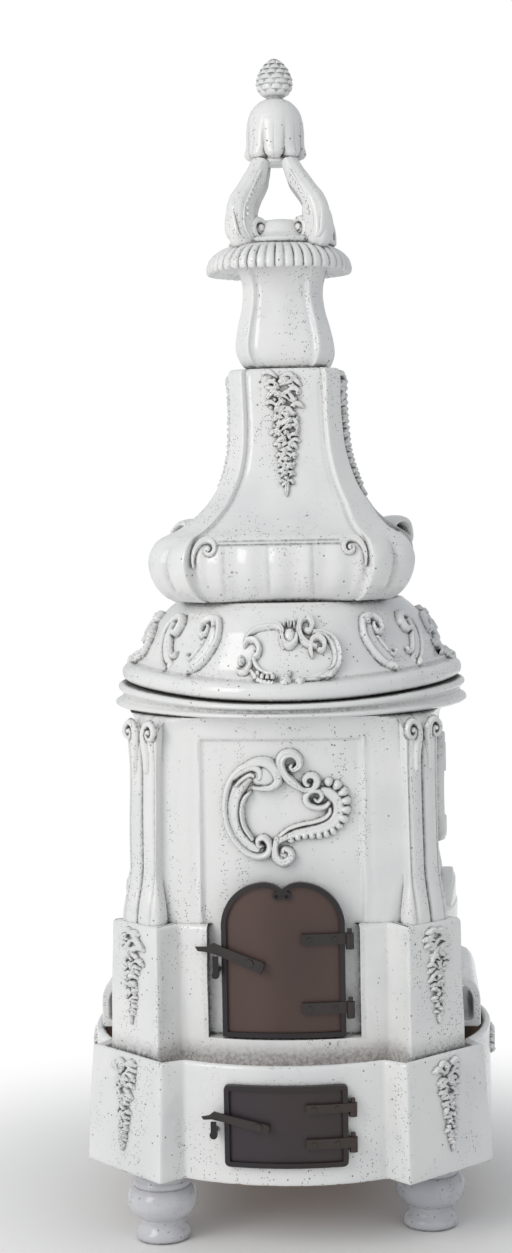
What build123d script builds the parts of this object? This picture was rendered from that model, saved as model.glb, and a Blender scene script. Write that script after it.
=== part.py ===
from build123d import *
import os
from math import asin, cos, degrees, radians, sin, sqrt

# Tall white-glazed rococo tiled stove: stacked ceramic tiers on four turned feet,
# with an iron fire door, an iron ash door, a firebrick chamber and a rear flue collar.
# Millimetres. +Z up, the doors face -Y, the origin is on the floor under the axis.

ROOT_TWO = sqrt(2.0)

# ---- levels of the joints between the tiers -------------------------------------
Z_FOOT_TOP = 134.0
Z_DECK_LOW = 300.0
Z_DECK_TOP = 330.0
Z_PLINTH_TOP = 350.0
Z_LEDGE = 587.0
Z_BODY_TOP = 957.0
Z_CORNICE_TOP = 1012.0
Z_FRIEZE_TOP = 1170.0
Z_NECK_TOP = 1605.0
Z_VASE_TOP = 1804.0
Z_RIM_TOP = 1844.0
Z_ARMS_TOP = 2006.0
Z_BELL_TOP = 2124.0
Z_TOP = 2200.0

# ---- plan of a tier: pilaster corners (a, b), panel ends (p, q), panel crown s -----
PLINTH_LOW = dict(a=375.0, b=221.0, p=185.0, q=339.0, s=45.0)
PLINTH_HIGH = dict(a=364.0, b=220.0, p=180.0, q=340.0, s=44.0)
LOWER_LOW = dict(a=330.0, b=228.0, p=190.0, q=280.0, s=42.0)
LOWER_HIGH = dict(a=323.0, b=228.0, p=190.0, q=280.0, s=42.0)
UPPER_LOW = dict(a=289.0, b=232.0, p=223.0, q=264.0, s=28.0)
UPPER_HIGH = dict(a=283.0, b=226.0, p=218.0, q=263.0, s=29.0)

RIM_WALL = 15.0            # the plinth stands round the lower body like a tray
FLANGE = 18.0              # thickness of the plinth's bottom flange
SHAFT_FLAT = 235.0         # half width of the octagonal shaft inside the body
SHAFT_DIAGONAL = 322.0     # its reach on the diagonals
PIT_FLAT = 325.0           # the same for the hollow of the plinth
PIT_DIAGONAL = 392.0
BRICK = 40.0               # firebrick thickness
BRICK_GAP = 0.5            # joint between brick and tile
Z_BRICK_TOP = 700.0
BAFFLE = 25.0

# ---- doors -----------------------------------------------------------------------
LEAF = 5.0                 # door plate
RIM_HIGH = 6.0             # raised iron band round each door
RIM_WIDE = 9.0
STRAP_HIGH = 7.6
GAP = 0.5                  # leaf to frame
PIN_R = 4.0
PIN_BORE_R = 4.05
KNUCKLE_R = 7.5
LATCH_THICK = 5.0
TURN_UP = 8.0              # how far a latch bar's right end turns up
LATCH_OFF = 5.4            # back of the latch bar over the leaf, at its pivot
RIVET_R = 4.0
RIVET_BORE_R = 4.05

FIRE_DOOR_R = 450.8        # plan radius of its raised rim
FIRE_DOOR_YC = 128.8       # centre of that radius
FIRE_HALF = 112.0
FIRE_BOTTOM = 386.0
FIRE_SPRING = 579.0
FIRE_LOBE_X = 37.0
FIRE_LOBE_Z = 669.0
FIRE_NOTCH_Z = 656.0
FIRE_HINGE = (121.0, -307.0)
FIRE_STRAPS = ((429.0, 450.0), (555.0, 575.0))
FIRE_STRAP_X = 34.0
FIRE_PIVOT = (-59.0, 523.0)
FIRE_LATCH_TILT = 21.0
FIRE_KEEPER_X = -122.0

PANEL_R = 406.7            # plan radius of the plinth's front panel
PANEL_YC = 22.7
ASH_LEFT = -106.0
ASH_RIGHT = 115.0
ASH_BOTTOM = 170.0
ASH_TOP = 317.0
ASH_CORNER = 9.0
ASH_OFF = 0.8              # back of the ash door over the panel
ASH_HINGE = (124.0, -373.5)
ASH_STRAPS = ((204.0, 222.0), (268.0, 284.0))
ASH_STRAP_X = 41.0
ASH_PIVOT = (-43.0, 245.0)
ASH_LATCH_TILT = 13.0
ASH_KEEPER_X = -124.0

RECESS_HALF = 139.0        # niche of the fire door in the lower body
RECESS_SPLAY = 3.0
RECESS_LOW = 383.0
FIELD_HALF = 147.0         # sunk field of the upper body's panels
FIELD_TOP = 926.0
FIELD_R = 893.0
FIELD_YC = 608.0           # the field's face lies 285 mm in front of the axis

# ---- rear flue -------------------------------------------------------------------
FLUE_Z = 820.0
FLUE_R = 60.0
FLUE_WALL = 6.0

os.makedirs("parts", exist_ok=True)
nodes = {}
ROUND_LOW = (Align.CENTER, Align.CENTER, Align.MIN)


# ==== helpers =====================================================================
def turned(points, quarter):
    """Plan points turned by a number of quarter turns about the axis."""
    for _ in range(quarter):
        points = [(-y, x) for x, y in points]
    return points


def plan_wire(z, a, b, p, q, s):
    """Four crowned panels with a square pilaster set on each diagonal."""
    edges = []
    for quarter in range(4):
        side = turned([(-p, -q), (0, -q - s), (p, -q), (b, -a), (a, -b), (q, -p)], quarter)
        left, crown, right, front, outer, following = [(x, y, z) for x, y in side]
        edges.append(ThreePointArc(left, crown, right))
        edges += [Line(right, front), Line(front, outer), Line(outer, following)]
    return Wire(edges)


def inset(plan, wall):
    """The plan moved inwards by a wall thickness."""
    return dict(a=plan["a"] - ROOT_TWO * wall, b=plan["b"], p=plan["p"] + (ROOT_TWO - 1) * wall,
                q=plan["q"] - wall, s=plan["s"])


def tier(z_low, plan_low, z_high, plan_high):
    return Solid.make_loft([plan_wire(z_low, **plan_low), plan_wire(z_high, **plan_high)], True)


def octagon(flat, diagonal, z_low, z_high):
    corner = diagonal * ROOT_TWO - flat
    points = []
    for quarter in range(4):
        points += turned([(-corner, -flat), (corner, -flat)], quarter)
    return Pos(0, 0, z_low) * extrude(make_face(Polyline(*points, close=True)), z_high - z_low)


def block(x_low, x_high, y_low, y_high, z_low, z_high):
    size = Box(x_high - x_low, y_high - y_low, z_high - z_low, align=(Align.MIN,) * 3)
    return Pos(x_low, y_low, z_low) * size


def drum(x, y, radius, z_low, z_high):
    return Pos(x, y, z_low) * Cylinder(radius, z_high - z_low, align=ROUND_LOW)


def upright(face, y_front, y_back):
    """A face drawn in x and z, given depth from y_front to y_back."""
    depth = y_back - y_front
    return Pos(0, y_back, 0) * extrude(Plane.XZ * face, depth)


def curved(face, yc, r_inner, r_outer):
    """A plate bent round a vertical axis at (0, yc), cut to a front outline."""
    box = face.bounding_box()
    z_low, z_high = box.min.Y - 1, box.max.Y + 1
    ring = drum(0, yc, r_outer, z_low, z_high) - drum(0, yc, r_inner, z_low - 1, z_high + 1)
    return ring & upright(face, yc - r_outer - 10, yc - r_inner * 0.5)


def turned_solid(points):
    """A round piece from its profile (radius, height)."""
    outline = Plane.XZ * make_face(Polyline(*points, close=True))
    return revolve(outline, Axis.Z)


def smooth_turned(low, curve, high):
    """A round piece whose outside is one smooth curve between two flat ends."""
    start, end = curve[0], curve[-1]
    edges = [Spline(*curve), Line(end, (0, high))]
    edges += [Line((0, high), (0, low)), Line((0, low), start)]
    return revolve(Plane.XZ * make_face(edges), Axis.Z)


def rectangle_face(x_low, x_high, z_low, z_high):
    corners = [(x_low, z_low), (x_high, z_low), (x_high, z_high), (x_low, z_high)]
    return make_face(Polyline(*corners, close=True))


def add(name, *solids):
    """Keep one piece, or a group of like pieces, as a node."""
    found = [solid for shape in solids for solid in shape.solids()]
    nodes[name] = found[0] if len(found) == 1 else Compound(children=found)


# ==== feet ========================================================================
FOOT_PLACES = {"front_left": (-233.0, -263.0), "front_right": (261.0, -185.0),
               "rear_left": (-240.0, 240.0), "rear_right": (240.0, 240.0)}
FOOT_CURVE = [(50.0, 9.0), (49.0, 17.0), (41.0, 28.0), (42.0, 36.0), (56.0, 49.0), (65.0, 74.0),
              (58.0, 92.0), (48.0, 99.0)]
foot_edges = [Spline(*FOOT_CURVE), Line((48, 99), (54, 103)), Line((54, 103), (54, 111)),
              ThreePointArc((54, 111), (49, 123), (46, Z_FOOT_TOP)),
              Line((46, Z_FOOT_TOP), (0, Z_FOOT_TOP)), Line((0, Z_FOOT_TOP), (0, 0)),
              Line((0, 0), (47, 0)), Line((47, 0), (50, 9))]
foot = revolve(Plane.XZ * make_face(foot_edges), Axis.Z)
for place, (x, y) in FOOT_PLACES.items():
    add("foot_" + place, Pos(x, y, 0) * foot)


# ==== outlines of the doors =======================================================
def fire_door_face(border):
    """The arched fire door, twin-lobed on top, drawn in by a border width."""
    half, bottom = FIRE_HALF - border, FIRE_BOTTOM + border
    lobe, notch = FIRE_LOBE_Z - border, FIRE_NOTCH_Z - border * 1.3
    shoulder = (94.5 - border * 0.8, 638 - border * 0.6)
    right = [ThreePointArc((half, FIRE_SPRING), shoulder, (FIRE_LOBE_X, lobe)),
             ThreePointArc((FIRE_LOBE_X, lobe), (15, lobe - 3), (0, notch))]
    left = [ThreePointArc((0, notch), (-15, lobe - 3), (-FIRE_LOBE_X, lobe)),
            ThreePointArc((-FIRE_LOBE_X, lobe), (-shoulder[0], shoulder[1]), (-half, FIRE_SPRING))]
    sides = [Line((-half, FIRE_SPRING), (-half, bottom)), Line((-half, bottom), (half, bottom)),
             Line((half, bottom), (half, FIRE_SPRING))]
    return make_face(right + left + sides)


def ash_door_face(border):
    width, height = ASH_RIGHT - ASH_LEFT - 2 * border, ASH_TOP - ASH_BOTTOM - 2 * border
    centre = ((ASH_LEFT + ASH_RIGHT) / 2, (ASH_BOTTOM + ASH_TOP) / 2)
    return Pos(*centre) * RectangleRounded(width, height, max(ASH_CORNER - border, 2.0))


FRAME_OUT = 5.0            # the frame stands this far inside the door's edge
FRAME_IN = 12.0

# ==== plinth ======================================================================
plinth_solid = tier(Z_FOOT_TOP, PLINTH_LOW, Z_PLINTH_TOP, PLINTH_HIGH)
plinth_high_ring = inset(PLINTH_HIGH, RIM_WALL)
tray = tier(Z_DECK_LOW, plinth_high_ring, Z_PLINTH_TOP + 1, plinth_high_ring)
pit = octagon(PIT_FLAT, PIT_DIAGONAL, Z_FOOT_TOP + FLANGE, Z_DECK_LOW + 1)
hatch = octagon(205.0, 205.0 * 1.05, Z_FOOT_TOP - 1, Z_FOOT_TOP + FLANGE + 1)
ash_way = upright(ash_door_face(FRAME_OUT), -420, -PIT_FLAT + 5)
plinth = plinth_solid - tray - pit - hatch - ash_way

floor_slab = octagon(PIT_FLAT - 1, PIT_DIAGONAL - 1, Z_FOOT_TOP + FLANGE, Z_FOOT_TOP + FLANGE + 20)
Z_PIT_FLOOR = Z_FOOT_TOP + FLANGE + 20
add("plinth_floor_slab", floor_slab)

pit_walls = block(-165, 165, -310, 230, Z_PIT_FLOOR, Z_DECK_LOW) - block(-125, 125, -311, 190, 0, 400)
add("ash_pit_bricks", pit_walls)

GRATE_HALF = 125.0
GRATE_THICK = 16.0
deck_plan = inset(PLINTH_HIGH, RIM_WALL + BRICK_GAP)
deck = tier(Z_DECK_LOW, deck_plan, Z_DECK_TOP, deck_plan)
deck -= block(-105, 105, -105, 105, Z_DECK_LOW - 1, Z_DECK_TOP + 1)
grate_bed = GRATE_HALF + 1
deck -= block(-grate_bed, grate_bed, -grate_bed, grate_bed, Z_DECK_TOP - GRATE_THICK, Z_DECK_TOP + 1)
add("grate_deck", deck)

grate = block(-GRATE_HALF, GRATE_HALF, -GRATE_HALF, GRATE_HALF, Z_DECK_TOP - GRATE_THICK, Z_DECK_TOP)
GRATE_SLOTS = 9
for index in range(GRATE_SLOTS):
    x = (index - (GRATE_SLOTS - 1) / 2) * 22
    grate -= block(x - 5, x + 5, -98, 98, Z_DECK_TOP - 20, Z_DECK_TOP + 1)
add("fire_grate", grate)

PAN_HALF = 92.0
PAN_X = 4.5
PAN_HIGH = 60.0
pan = block(PAN_X - PAN_HALF, PAN_X + PAN_HALF, -300, 60, Z_PIT_FLOOR, Z_PIT_FLOOR + PAN_HIGH)
pan -= block(PAN_X - PAN_HALF + 3, PAN_X + PAN_HALF - 3, -297, 57, Z_PIT_FLOOR + 3, Z_PIT_FLOOR + 90)
pan_loop = Pos(PAN_X, -300, Z_PIT_FLOOR + 38) * Rot(90, 0, 0) * Torus(13, 3)
pan_loop &= block(-50, 60, -330, -300, Z_PIT_FLOOR, Z_PIT_FLOOR + 90)
add("ash_pan", pan + pan_loop)

# ==== lower body ==================================================================
lower_solid = tier(Z_DECK_TOP, LOWER_LOW, Z_LEDGE, LOWER_HIGH)
shaft = octagon(SHAFT_FLAT, SHAFT_DIAGONAL, Z_DECK_TOP - 1, Z_BODY_TOP + 1)
fire_way = upright(fire_door_face(FRAME_OUT), -420, -SHAFT_FLAT + 60)
niche_plan = make_face(Polyline((-RECESS_HALF, -400), (RECESS_HALF, -400), (RECESS_HALF, -318),
                                (RECESS_HALF - RECESS_SPLAY, -240), (-RECESS_HALF + RECESS_SPLAY, -240),
                                (-RECESS_HALF, -318), close=True))
niche = Pos(0, 0, RECESS_LOW) * extrude(niche_plan, Z_LEDGE - RECESS_LOW + 1)
niche -= drum(0, FIELD_YC, FIELD_R, RECESS_LOW - 1, Z_LEDGE + 5)
lower = lower_solid - shaft - niche - fire_way

# ==== upper body ==================================================================
upper_solid = tier(Z_LEDGE, UPPER_LOW, Z_BODY_TOP, UPPER_HIGH)
cap_line = [(0, Z_LEDGE - 1), (400, Z_LEDGE - 1), (400, 902), (368, 902), (362, 924), (346, 944),
            (322, Z_BODY_TOP), (0, Z_BODY_TOP)]
upper_solid &= turned_solid(cap_line)
upper = upper_solid - shaft
field = block(-FIELD_HALF, FIELD_HALF, -400, -200, Z_LEDGE - 1, FIELD_TOP)
field -= drum(0, FIELD_YC, FIELD_R, Z_LEDGE - 5, FIELD_TOP + 5)
for quarter in range(4):
    low = field if quarter == 0 else field & block(-400, 400, -400, 400, Z_LEDGE + 55, FIELD_TOP)
    upper -= Rot(0, 0, 90 * quarter) * low
upper -= fire_way

Z_CORNICE_LOW = 950.0
cornice_line = [(0, Z_CORNICE_LOW), (294, Z_CORNICE_LOW), (303, 956), (315, 961), (330, 966), (339, 970),
                (339, 978), (326, 985), (326, 992), (335, 998), (334, 1008), (328, Z_CORNICE_TOP),
                (0, Z_CORNICE_TOP)]
cornice = turned_solid(cornice_line) - upper_solid
cornice -= drum(0, 0, SHAFT_FLAT, 900, Z_CORNICE_TOP + 1)

# ==== firebricks and baffle =======================================================
bricks = octagon(SHAFT_FLAT - BRICK_GAP, SHAFT_DIAGONAL - BRICK_GAP, Z_DECK_TOP, Z_BRICK_TOP)
bricks -= octagon(SHAFT_FLAT - BRICK, SHAFT_DIAGONAL - BRICK * 1.5, Z_DECK_TOP - 1, Z_BRICK_TOP + 1)
bricks -= fire_way
add("firebrick_lining", bricks)
baffle = octagon(SHAFT_FLAT - BRICK_GAP, SHAFT_DIAGONAL - BRICK_GAP, Z_BRICK_TOP, Z_BRICK_TOP + BAFFLE)
baffle -= block(-400, 400, 130, 400, Z_BRICK_TOP - 1, Z_BRICK_TOP + BAFFLE + 1)
add("smoke_baffle", baffle)

# ==== side casings and crests =====================================================
CASING_OUT = 362.0
CASING_TOP = 447.0
CASING_FRONT = -100.0
CASING_REAR = 198.0
CASING_LONG = CASING_REAR - CASING_FRONT
casing_face = make_face(Polyline((290, Z_PLINTH_TOP), (CASING_OUT, Z_PLINTH_TOP), (CASING_OUT, 408),
                                 (354, 434), (336, CASING_TOP), (290, CASING_TOP), close=True))
casing = Pos(0, CASING_REAR, 0) * extrude(Plane.XZ * casing_face, CASING_LONG)
tunnel_face = make_face(Polyline((280, 364), (348, 364), (348, 404), (341, 424), (330, 432), (280, 432),
                                 close=True))
casing -= Pos(0, CASING_REAR + 1, 0) * extrude(Plane.XZ * tunnel_face, CASING_LONG + 2)
casing -= lower_solid
add("side_casing_right", casing)
add("side_casing_left", casing.mirror(Plane.YZ))

CREST_HALF = 105.0
CREST_TOP = 640.0
crest_face = make_face([ThreePointArc((-CREST_HALF, Z_LEDGE), (0, CREST_TOP), (CREST_HALF, Z_LEDGE)),
                        Line((CREST_HALF, Z_LEDGE), (-CREST_HALF, Z_LEDGE))])
crest = upright(crest_face, -330, -280) & tier(Z_LEDGE, LOWER_HIGH, Z_LEDGE + 80, LOWER_HIGH)
crest -= upper_solid
for name, angle in (("crest_right", 90), ("crest_rear", 180), ("crest_left", 270)):
    add(name, Rot(0, 0, angle) * crest)

# ==== iron door furniture =========================================================
def door_pieces(face_of, yc, r_leaf, straps, strap_x, hinge):
    """Leaf, raised rim, straps with knuckles and rivets of one door."""
    r_front = r_leaf + LEAF
    hinge_x, hinge_y = hinge
    strap_parts, rivets, rivet_cuts = [], [], []
    for z_low, z_high in straps:
        strap_face = rectangle_face(strap_x, hinge_x - 2, z_low, z_high)
        flat = curved(strap_face, yc, r_front, r_front + STRAP_HIGH)
        knuckle = drum(hinge_x, hinge_y, KNUCKLE_R, z_low, z_high)
        bore = drum(hinge_x, hinge_y, PIN_BORE_R, z_low - 1, z_high + 1)
        strap_parts.append(flat + knuckle - bore)
        for x in (strap_x + 14, hinge_x - 27):
            y = yc - sqrt((r_front + STRAP_HIGH) ** 2 - x * x)
            spot = Pos(x, y + 1.2, (z_low + z_high) / 2) * Rot(90, 0, 0)
            head = spot * Cylinder(RIVET_R, 3.4, align=ROUND_LOW)
            rivets.append(head)
    rim = curved(face_of(0) - face_of(RIM_WIDE), yc, r_front, r_front + RIM_HIGH)
    for part in strap_parts:
        rim -= part
    for head in rivets:
        strap_parts = [part - head for part in strap_parts]
    leaf = curved(face_of(0), yc, r_leaf, r_front)
    return leaf, rim, strap_parts, rivets


def pintles(straps, hinge, wall_y, arm_x):
    """Hooks set in the masonry: a pin under each knuckle on an arm that goes back into the wall."""
    x, y = hinge
    hooks = []
    for z_low, z_high in straps:
        shoulder = drum(x, y, KNUCKLE_R, z_low - 9, z_low - 0.3)
        pin = drum(x, y, PIN_R, z_low - 5, z_high + 8)
        arm = block(x - 5, arm_x, y, wall_y, z_low - 9, z_low - 1.5)
        hooks.append(shoulder + pin + arm)
    return hooks


def latch_bar(length_left, length_right, half_wide, beak):
    """A flat bar about its rivet, with a drooping beak and an upturned end; drawn in x and z."""
    waist = -length_left * 0.72
    outline = [(length_right, -half_wide), (length_right, half_wide), (waist, half_wide * 0.82),
               (-length_left, half_wide * 0.9), (-length_left - beak * 0.35, -half_wide * 0.2),
               (-length_left - beak, -half_wide * 0.95), (-length_left - beak * 0.75, -half_wide * 1.45),
               (-length_left, -half_wide * 0.9), (waist, -half_wide * 0.82)]
    return make_face(Polyline(*outline, close=True))


def latch_pieces(pivot, tilt, yc, r_front, length_left, length_right, half_wide, beak):
    """A latch bar and its rivet, square to the door's surface at the pivot."""
    x, z = pivot
    y = yc - sqrt(r_front ** 2 - x * x)
    place = Pos(x, y, z) * Rot(0, 0, degrees(asin(x / r_front)))
    bar_face = Rot(0, 0, -tilt) * latch_bar(length_left, length_right, half_wide, beak)
    bar = Pos(0, -LATCH_OFF, 0) * extrude(Plane.XZ * bar_face, LATCH_THICK)
    bar_front = LATCH_OFF + LATCH_THICK
    turn_up = block(length_right - 3, length_right, -bar_front - TURN_UP, -bar_front, -half_wide, half_wide)
    bar += Rot(0, tilt, 0) * turn_up
    bar -= Rot(90, 0, 0) * Cylinder(RIVET_BORE_R, 60)
    stem = Rot(90, 0, 0) * Cylinder(RIVET_R, bar_front + 0.4, align=ROUND_LOW)
    washer = Rot(90, 0, 0) * Cylinder(7.5, LATCH_OFF - 0.3, align=ROUND_LOW)
    head = Pos(0, -bar_front - 0.3, 0) * Rot(90, 0, 0) * Cylinder(7, 2.6, align=ROUND_LOW)
    return place * bar, place * (stem + washer + head)


def keeper(x, z_low, z_nose, wall_y, bar_front_y):
    """A hook set in the wall: it passes under the bar and turns up in front of it."""
    thick = 8.0
    reach = block(x - 5, x + 5, bar_front_y - thick, wall_y, z_low, z_low + 9)
    nose = block(x - 5, x + 5, bar_front_y - thick, bar_front_y, z_low, z_nose)
    tail = Pos(x, bar_front_y - thick, z_low + 2) * Rot(-90, 0, 0) * Cylinder(7, thick, align=ROUND_LOW)
    return reach + nose + tail


# ---- fire door ----
FIRE_R_LEAF = FIRE_DOOR_R - RIM_HIGH - LEAF
fire_front = FIRE_R_LEAF + LEAF
leaf, rim, straps, rivets = door_pieces(
    fire_door_face, FIRE_DOOR_YC, FIRE_R_LEAF, FIRE_STRAPS, FIRE_STRAP_X, FIRE_HINGE)
curl = Circle(8) - Circle(3.5)
volutes = Pos(-9, 645) * curl + Pos(9, 645) * curl - (fire_door_face(0) - fire_door_face(RIM_WIDE))
rim += curved(volutes, FIRE_DOOR_YC, fire_front, fire_front + RIM_HIGH)
fire_bar, fire_rivet = latch_pieces(FIRE_PIVOT, FIRE_LATCH_TILT, FIRE_DOOR_YC, fire_front, 74, 27, 10.5, 30)
leaf -= fire_rivet
add("fire_door_leaf", leaf)
add("fire_door_rim", rim)
add("fire_door_straps", *straps)
add("fire_door_strap_rivets", *rivets)
add("fire_door_latch_rivet", fire_rivet)
add("fire_door_latch", fire_bar)

FIRE_FRAME_BACK = 385.0    # plan radius of the frame's back
fire_ring = fire_door_face(FRAME_OUT) - fire_door_face(FRAME_IN)
add("fire_door_frame", curved(fire_ring, FIRE_DOOR_YC, FIRE_FRAME_BACK, FIRE_R_LEAF - GAP))
fire_hooks = pintles(FIRE_STRAPS, FIRE_HINGE, -262, FIRE_HINGE[0] + 5)
add("fire_door_pintles", *fire_hooks)
fire_keeper = keeper(FIRE_KEEPER_X, 500, 535, -262, -316)
add("fire_door_keeper", fire_keeper)
for hook in fire_hooks + [fire_keeper]:
    lower -= hook

# ---- ash door ----
ASH_R_LEAF = PANEL_R + ASH_OFF
ash_front = ASH_R_LEAF + LEAF
leaf, rim, straps, rivets = door_pieces(
    ash_door_face, PANEL_YC, ASH_R_LEAF, ASH_STRAPS, ASH_STRAP_X, ASH_HINGE)
ash_bar, ash_rivet = latch_pieces(ASH_PIVOT, ASH_LATCH_TILT, PANEL_YC, ash_front, 84, 20, 8, 20)
leaf -= ash_rivet
add("ash_door_leaf", leaf)
add("ash_door_rim", rim)
add("ash_door_straps", *straps)
add("ash_door_strap_rivets", *rivets)
add("ash_door_latch_rivet", ash_rivet)
add("ash_door_latch", ash_bar)
ash_ring = ash_door_face(FRAME_OUT) - ash_door_face(FRAME_IN)
add("ash_door_frame", curved(ash_ring, PANEL_YC, PANEL_R - 13, ASH_R_LEAF - GAP))
ash_hooks = pintles(ASH_STRAPS, ASH_HINGE, -352, ASH_HINGE[0] + 5)
add("ash_door_pintles", *ash_hooks)
ash_keeper = keeper(ASH_KEEPER_X, 229, 254, -352, -392)
add("ash_door_keeper", ash_keeper)
for hook in ash_hooks + [ash_keeper]:
    plinth -= hook

# ==== rear flue ===================================================================
def lying(radius, y_low, y_high):
    """A round bar or hole along Y at the height of the flue."""
    return Pos(0, y_low, FLUE_Z) * Rot(-90, 0, 0) * Cylinder(radius, y_high - y_low, align=ROUND_LOW)


front_reach = -nodes["ash_door_latch"].bounding_box().min.Y
flue_outer = FLUE_R + FLUE_WALL
upper -= lying(flue_outer, 200, 400)
flue = lying(flue_outer, SHAFT_FLAT + 1, front_reach) + lying(flue_outer + 16, 300, 308)
add("flue_collar", flue - lying(FLUE_R, 190, front_reach + 10))

# ==== frieze, neck, vase, rim =====================================================
frieze_line = [(321, Z_CORNICE_TOP), (327, 1021), (326, 1036), (313, 1047), (300, 1053), (292, 1061),
               (280, 1085), (262, 1121), (240, 1148), (222, 1163), (218, Z_FRIEZE_TOP)]
frieze_solid = turned_solid([(0, Z_CORNICE_TOP)] + frieze_line + [(0, Z_FRIEZE_TOP)])
frieze_hollow = [(0, Z_CORNICE_TOP - 1), (290, Z_CORNICE_TOP - 1), (262, 1050), (240, 1098), (195, 1148),
                 (180, Z_FRIEZE_TOP + 1), (0, Z_FRIEZE_TOP + 1)]
frieze = frieze_solid - turned_solid(frieze_hollow)


def cushion_plan(half, corner, fall, crown):
    """A squarish section: half width, corner reach along the face, pilaster step and panel crown."""
    return dict(a=half, b=corner, p=corner - fall, q=half - fall - crown, s=crown)


# Each section: height, half width, corner reach, pilaster step, panel crown.
NECK_SECTIONS = [(Z_FRIEZE_TOP, 205, 140, 4, 12), (1198, 229, 158, 6, 14), (1244, 245, 169, 8, 14),
                 (1279, 236, 163, 8, 14), (1311, 205, 146, 5, 8), (1334, 168, 122, 4, 6),
                 (1362, 150, 108, 4, 5), (1400, 131, 94, 4, 5), (1450, 118, 84, 4, 5),
                 (1540, 115, 82, 4, 5), (1590, 115, 82, 4, 5), (Z_NECK_TOP, 106, 74, 4, 5)]


def lofted(sections):
    wires = []
    for z, half, corner, fall, crown in sections:
        wires.append(plan_wire(z, **cushion_plan(half, corner, fall, crown)))
    return Solid.make_loft(wires, True)


neck_solid = lofted(NECK_SECTIONS)
BOSS_R = 48.0              # rounded bosses on the cushion's rear shoulders
BOSS_X, BOSS_Y, BOSS_Z = 202.0, 186.0, 1291.0
for x in (-BOSS_X, BOSS_X):
    neck_solid += Pos(x, BOSS_Y, BOSS_Z) * Sphere(BOSS_R)
Z_NECK_ROOF = 1580.0
neck_hollow = [(0, Z_FRIEZE_TOP - 1), (170, Z_FRIEZE_TOP - 1), (200, 1237), (180, 1287), (110, 1354),
               (88, 1450), (80, Z_NECK_ROOF), (0, Z_NECK_ROOF)]
neck = neck_solid - turned_solid(neck_hollow)

VASE_SECTIONS = [(Z_NECK_TOP, 70, 46, 2, 4), (1618, 86, 58, 3, 5), (1650, 95, 66, 3, 5),
                 (1694, 88, 60, 3, 5), (1747, 77, 52, 3, 4), (1780, 80, 55, 3, 4),
                 (Z_VASE_TOP, 90, 62, 3, 4)]
add("vase_pedestal", lofted(VASE_SECTIONS))

rim_line = [(0, Z_VASE_TOP), (96, Z_VASE_TOP), (118, 1804), (132, 1793), (139, 1794), (140, 1806),
            (132, 1823), (112, 1837), (90, Z_RIM_TOP), (0, Z_RIM_TOP)]
add("gadrooned_rim", turned_solid(rim_line))

# ==== crown finial ================================================================
ARM_HALF = 20.0
ARM_LOW = Z_RIM_TOP + 2
Z_ARM_SILL = 1903.0        # flat bottom of the openings between the arms
ARM_OUTER = [(117, ARM_LOW), (131, 1872), (131, 1903), (131, 1914), (103, 1950), (81, 1973),
             (63.5, 1992), (53, Z_ARMS_TOP)]
ARM_INNER = [(30, Z_ARMS_TOP), (40.6, 1992), (51.6, 1973), (63.6, 1950), (71.6, 1914), (71, Z_ARM_SILL)]
ARM_ROOT = 60.0
arm_edges = [Line((ARM_ROOT, ARM_LOW), ARM_OUTER[0]), Spline(*ARM_OUTER),
             Line(ARM_OUTER[-1], ARM_INNER[0]), Spline(*ARM_INNER),
             Line(ARM_INNER[-1], (ARM_ROOT, Z_ARM_SILL)),
             Line((ARM_ROOT, Z_ARM_SILL), (ARM_ROOT, ARM_LOW))]
arm_face = make_face(arm_edges)
crown = drum(0, 0, 76, Z_RIM_TOP, Z_ARM_SILL) + drum(0, 0, 46, 1996, Z_ARMS_TOP)
for index in range(4):
    arm = Pos(0, ARM_HALF, 0) * extrude(Plane.XZ * arm_face, 2 * ARM_HALF)
    crown += Rot(0, 0, 45 + 90 * index) * arm
add("crown_arms", crown)
bell_curve = [(46, Z_ARMS_TOP), (54, 2018), (54.5, 2040), (54.6, 2063), (50.5, 2091), (38, 2111),
              (16, Z_BELL_TOP)]
add("finial_bell", smooth_turned(Z_ARMS_TOP, bell_curve, Z_BELL_TOP))
cone_curve = [(15, Z_BELL_TOP), (30, 2136), (35, 2152), (29, 2176), (13, 2195), (0, Z_TOP)]
cone_edges = [Spline(*cone_curve), Line((0, Z_TOP), (0, Z_BELL_TOP)),
              Line((0, Z_BELL_TOP), (15, Z_BELL_TOP))]
add("finial_pine_cone", revolve(Plane.XZ * make_face(cone_edges), Axis.Z))


# ==== relief ornament =============================================================
def leaf_drop(z_low, z_high, half_top, half_low):
    """A hanging spray of leaves, broad on top and pointed below."""
    middle = (z_low + z_high) / 2
    waist, shoulder = half_top * 0.75, z_high - 30
    return make_face([Line((-half_low, z_low), (half_low, z_low)), Line((half_low, z_low), (waist, middle)),
                      Line((waist, middle), (half_top, shoulder)),
                      ThreePointArc((half_top, shoulder), (0, z_high), (-half_top, shoulder)),
                      Line((-half_top, shoulder), (-waist, middle)),
                      Line((-waist, middle), (-half_low, z_low))])


def on_diagonals(face, y_front, y_back, carrier):
    drops = []
    for index in range(4):
        drops.append(Rot(0, 0, 45 + 90 * index) * upright(face, y_front, y_back) - carrier)
    return drops


add("plinth_leaf_drops", *on_diagonals(leaf_drop(176, 346, 38, 8), -432, -405, plinth_solid))
add("lower_leaf_drops", *on_diagonals(leaf_drop(402, 584, 40, 9), -402, -380, lower_solid))

shell_face = make_face([ThreePointArc((-34, 338), (0, 285), (34, 338)), Line((34, 338), (-34, 338))])
shells = [Rot(0, 0, angle) * upright(shell_face, -394, -370) - plinth_solid for angle in (90, 180, 270)]
add("plinth_side_shells", *shells)


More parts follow.
